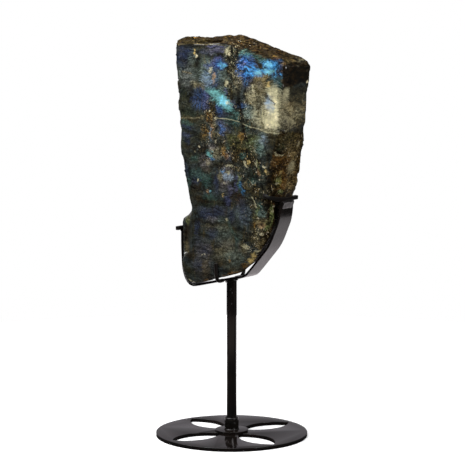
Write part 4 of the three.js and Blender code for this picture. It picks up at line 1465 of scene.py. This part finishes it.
class SLAB_OT_stone(bpy.types.Operator):
    """Add the labradorite slab, polished in front and broken elsewhere"""
    bl_idname = "slab.add_stone"
    bl_label = "Labradorite"

    def execute(self, context):
        settings = context.scene.slab_stone
        piece = node_copy("labradorite", "labradorite_dressed")
        apply_modifier(piece, "REMESH", mode="VOXEL", voxel_size=settings.fineness)
        self.break_surface(piece, settings)
        finish_piece(piece, "labradorite", labradorite(settings), 38)
        return {"FINISHED"}

    def break_surface(self, piece, settings):
        mesh = piece.data
        count = len(mesh.vertices)
        places = np.empty(count * 3, np.float32)
        normals = np.empty(count * 3, np.float32)
        mesh.vertices.foreach_get("co", places)
        mesh.vertex_normals.foreach_get("vector", normals)
        places = places.reshape(-1, 3).astype(float) / MM
        normals = normals.reshape(-1, 3).astype(float)
        broken = self.broken_share(places, normals)
        rough = np.flatnonzero(broken > 0.02)
        points = places[rough]

        depth = np.zeros(count)
        facets = facet_depths(points, settings.facet_size / MM)
        chips = facet_depths(points + 50, CHIP_SIZE * settings.facet_size / MM)
        depth[rough] = settings.facet_depth / MM * (facets + CHIP_DEPTH * chips)
        depth[rough] += LUMP_DEPTH * soft_noise(points, LUMP_SIZE)
        up = step(0.3, 0.7, normals[rough, 2])
        left = step(0.4, 0.8, -normals[rough, 0])
        depth[rough] *= (1 - 0.75 * step(0.05, 0.4, normals[rough, 2])) * (1 - 0.45 * left)
        inner = step(30, 16, points[:, 1])
        depth[rough] += up * inner * settings.layer_depth / MM * (0.5 + self.layers(points))
        depth *= broken
        held = step(*HELD_BELOW, places[:, 2])
        inward = np.maximum(depth, -depth * 0.3)
        depth = np.where(held > 0, inward * held + depth * (1 - held), depth)
        depth += (1 - broken) * self.polish_wear(places, normals)

        low, high = (np.array(corner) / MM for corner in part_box("labradorite"))
        moved = places - normals * depth[:, None]
        x, y, z = places.T
        for dip, *area in TOP_DIPS:
            moved[:, 2] -= dip * inside(area, x, z)
        moved[:, 1] -= FOOT_STEP * inside(FOOT_AREA, x, y, y, z)
        moved = np.clip(moved, low + 0.01, high - 0.01)
        mesh.vertices.foreach_set("co", (moved * MM).astype(np.float32).ravel())
        mesh.update()
        # hollow is how far a point is pushed in, used for painted shade in the hollows
        for name, values in (("broken", broken), ("hollow", np.clip(0.5 + depth / 4, 0, 1))):
            attribute = mesh.attributes.new(name, "FLOAT", "POINT")
            attribute.data.foreach_set("value", values.astype(np.float32))

    def broken_share(self, places, normals):
        """1 on the broken sides and 0 on the polished front, bevel and upper right side."""
        x, y, z = places.T
        to_right, to_back, to_top = normals.T
        upright = step(0.4, 0.2, to_top)
        front = step(0.55, 0.85, -to_back) * step(*FRONT_FROM, y) * upright
        seam = SEAM_HEIGHT - SEAM_SLOPE * (y - FACE_Y)
        above = step(seam - 2, seam + 2, z)
        right = step(0.2, 0.5, to_right) * step(*RIGHT_FROM, x) * above * step(0.75, 0.5, to_top)
        strip = inside(STRIP_AREA, x, y, z)
        bevel = step(0.35, 0.6, -to_back) * upright * np.maximum(above, step(*BEVEL_FROM, x))
        return 1 - np.clip(front + right + strip + bevel, 0, 1)

    def layers(self, points):
        """Steps between thin layers that run along the slab's top."""
        depths = np.zeros(len(points))
        for i, p in enumerate(points):
            bend = noise.noise(Vector((p[0] / 22, p[1] / 30, 0)))
            row = math.floor(p[1] / LAYER_WIDTH + 2.4 * bend + 0.02 * p[0])
            run = math.floor(p[0] / LAYER_LENGTH + bend)
            depths[i] = noise.cell(Vector((row * 3.7, run, 5))) - 0.5
        return depths

    def polish_wear(self, places, normals):
        """Shallow waves, and small chips along the polished front's edge."""
        wear = WAVE_DEPTH * soft_noise(places, WAVE_SIZE, 1)
        edge = step(0.93, 0.75, -normals[:, 1]) * step(-22, -25, places[:, 1])
        near = np.flatnonzero(edge > 0.02)
        chips = np.clip(facet_depths(places[near] + 9, EDGE_CHIP_SIZE), 0, 1)
        wear[near] += edge[near] * EDGE_CHIP_DEPTH * chips
        return wear


class SLAB_OT_stage(bpy.types.Operator):
    """Add the pale floor, the soft lights and the camera"""
    bl_idname = "slab.add_stage"
    bl_label = "Stage"

    def execute(self, context):
        settings = context.scene.slab_stage
        self.add_floor(settings)
        self.add_lights(settings)
        self.add_surroundings(context)
        self.add_camera(context)
        context.scene.view_settings.view_transform = "Standard"
        return {"FINISHED"}

    def add_floor(self, settings):
        bpy.ops.object.select_all(action="DESELECT")
        bpy.ops.mesh.primitive_circle_add(vertices=128, radius=FLOOR_RADIUS, fill_type="NGON")
        floor = bpy.context.object
        floor.name = "floor"
        material, tree, shader, point = new_material("Pale floor")
        seen = tree.add("ShaderNodeLightPath").outputs["Is Camera Ray"]
        reach = tree.vector("LENGTH", point)
        ahead = tree.vector("DOT_PRODUCT", point, AHEAD)
        dim = tree.mix(tree.ramp(ahead, -0.15, -0.05), FLOOR_BEHIND, FLOOR_UNDER)
        before = tree.math("MULTIPLY", tree.ramp(reach, 0.5, 0.7), tree.ramp(ahead, 0.2, 0.4))
        dim = tree.mix(before, dim, FLOOR_BEFORE)
        tree.put(shader.inputs["Base Color"], tree.mix(seen, dim, tuple(settings.floor_colour)))
        glow = tree.math("MULTIPLY", tree.ramp(reach, 0.1, 0.3, 0.25, 0.9), seen)
        grey = tree.add("ShaderNodeCombineColor", {0: glow, 1: glow, 2: glow}).outputs[0]
        tree.put(shader.inputs["Emission Color"], grey)
        shader.inputs["Emission Strength"].default_value = 1
        shader.inputs["Roughness"].default_value = 0.9
        shader.inputs["Specular IOR Level"].default_value = 0
        floor.data.materials.append(material)

    def add_lights(self, settings):
        """Three soft boxes, over the stone and on both sides, and two small lamps for glints."""
        for name, (power, place, size) in LIGHTS.items():
            light = bpy.data.lights.new(name, "AREA")
            light.energy = getattr(settings, power)
            light.size = size
            lamp = bpy.data.objects.new(name, light)
            bpy.context.scene.collection.objects.link(lamp)
            lamp.location = place
            lamp.rotation_mode = "QUATERNION"
            lamp.rotation_quaternion = (LIGHTS_AIM - Vector(place)).to_track_quat("-Z", "Y")

    def add_surroundings(self, context):
        """White behind everything, and a dim room, lighter above, for the light and reflections."""
        world = bpy.data.worlds.new("Studio")
        world.use_nodes = True
        context.scene.world = world
        tree = Tree(world.node_tree)
        background = world.node_tree.nodes["Background"]
        direction = tree.add("ShaderNodeTexCoord").outputs["Generated"]
        height = tree.add("ShaderNodeSeparateXYZ", {0: direction}).outputs["Z"]
        room = tree.mix(tree.ramp(height, 0.2, 0.9), ROOM_LOW, ROOM_HIGH)
        behind = tree.vector("DOT_PRODUCT", direction, BEHIND)
        room = tree.mix(tree.ramp(behind, 0.8, 0.95), room, ROOM_BEHIND)
        right = tree.vector("DOT_PRODUCT", direction, RIGHT)
        room = tree.mix(tree.ramp(right, 0.9, 0.98), room, ROOM_RIGHT)
        seen = tree.add("ShaderNodeLightPath").outputs["Is Camera Ray"]
        tree.put(background.inputs["Color"], tree.mix(seen, room, (1.0, 1.0, 1.0)))

    def add_camera(self, context):
        data = bpy.data.cameras.new("camera")
        data.sensor_width = SENSOR
        data.lens = FOCAL_PIXELS / IMAGE_SIDE * SENSOR
        camera = bpy.data.objects.new("camera", data)
        context.scene.collection.objects.link(camera)
        camera.rotation_euler = (math.pi / 2 - CAMERA_PITCH, 0, CAMERA_TURN)
        right = Vector((math.cos(CAMERA_TURN), math.sin(CAMERA_TURN), 0))
        back = Vector((math.sin(CAMERA_TURN), -math.cos(CAMERA_TURN), 0))
        camera.location = back * CAMERA_DISTANCE + right * CAMERA_ASIDE
        camera.location.z = CAMERA_HEIGHT
        context.scene.camera = camera


OPERATORS = (SLAB_OT_base, SLAB_OT_post, SLAB_OT_cradle, SLAB_OT_prongs, SLAB_OT_stone, SLAB_OT_stage)
SETTINGS = {"slab_stone": StoneSettings, "slab_steel": SteelSettings, "slab_stage": StageSettings}


class SLAB_PT_panel(bpy.types.Panel):
    """Lists the slab's pieces and their sizes and colours"""
    bl_idname = "SLAB_PT_panel"
    bl_label = "Slab on Stand"
    bl_space_type = "VIEW_3D"
    bl_region_type = "UI"
    bl_category = "Slab"

    def draw(self, context):
        for operator in OPERATORS:
            self.layout.operator(operator.bl_idname)
        for key, kind in SETTINGS.items():
            box = self.layout.box()
            for name in kind.__annotations__:
                box.prop(getattr(context.scene, key), name)


def register():
    for kind in (*SETTINGS.values(), *OPERATORS, SLAB_PT_panel):
        bpy.utils.register_class(kind)
    for key, kind in SETTINGS.items():
        setattr(bpy.types.Scene, key, PointerProperty(type=kind))


def unregister():
    for key in SETTINGS:
        delattr(bpy.types.Scene, key)
    for kind in (SLAB_PT_panel, *reversed(OPERATORS), *SETTINGS.values()):
        bpy.utils.unregister_class(kind)


def main():
    register()
    bpy.ops.slab.add_stage()
    bpy.ops.slab.add_base()
    bpy.ops.slab.add_post()
    bpy.ops.slab.add_cradle()
    bpy.ops.slab.add_prongs()
    bpy.ops.slab.add_stone()


if __name__ == "__main__":
    main()
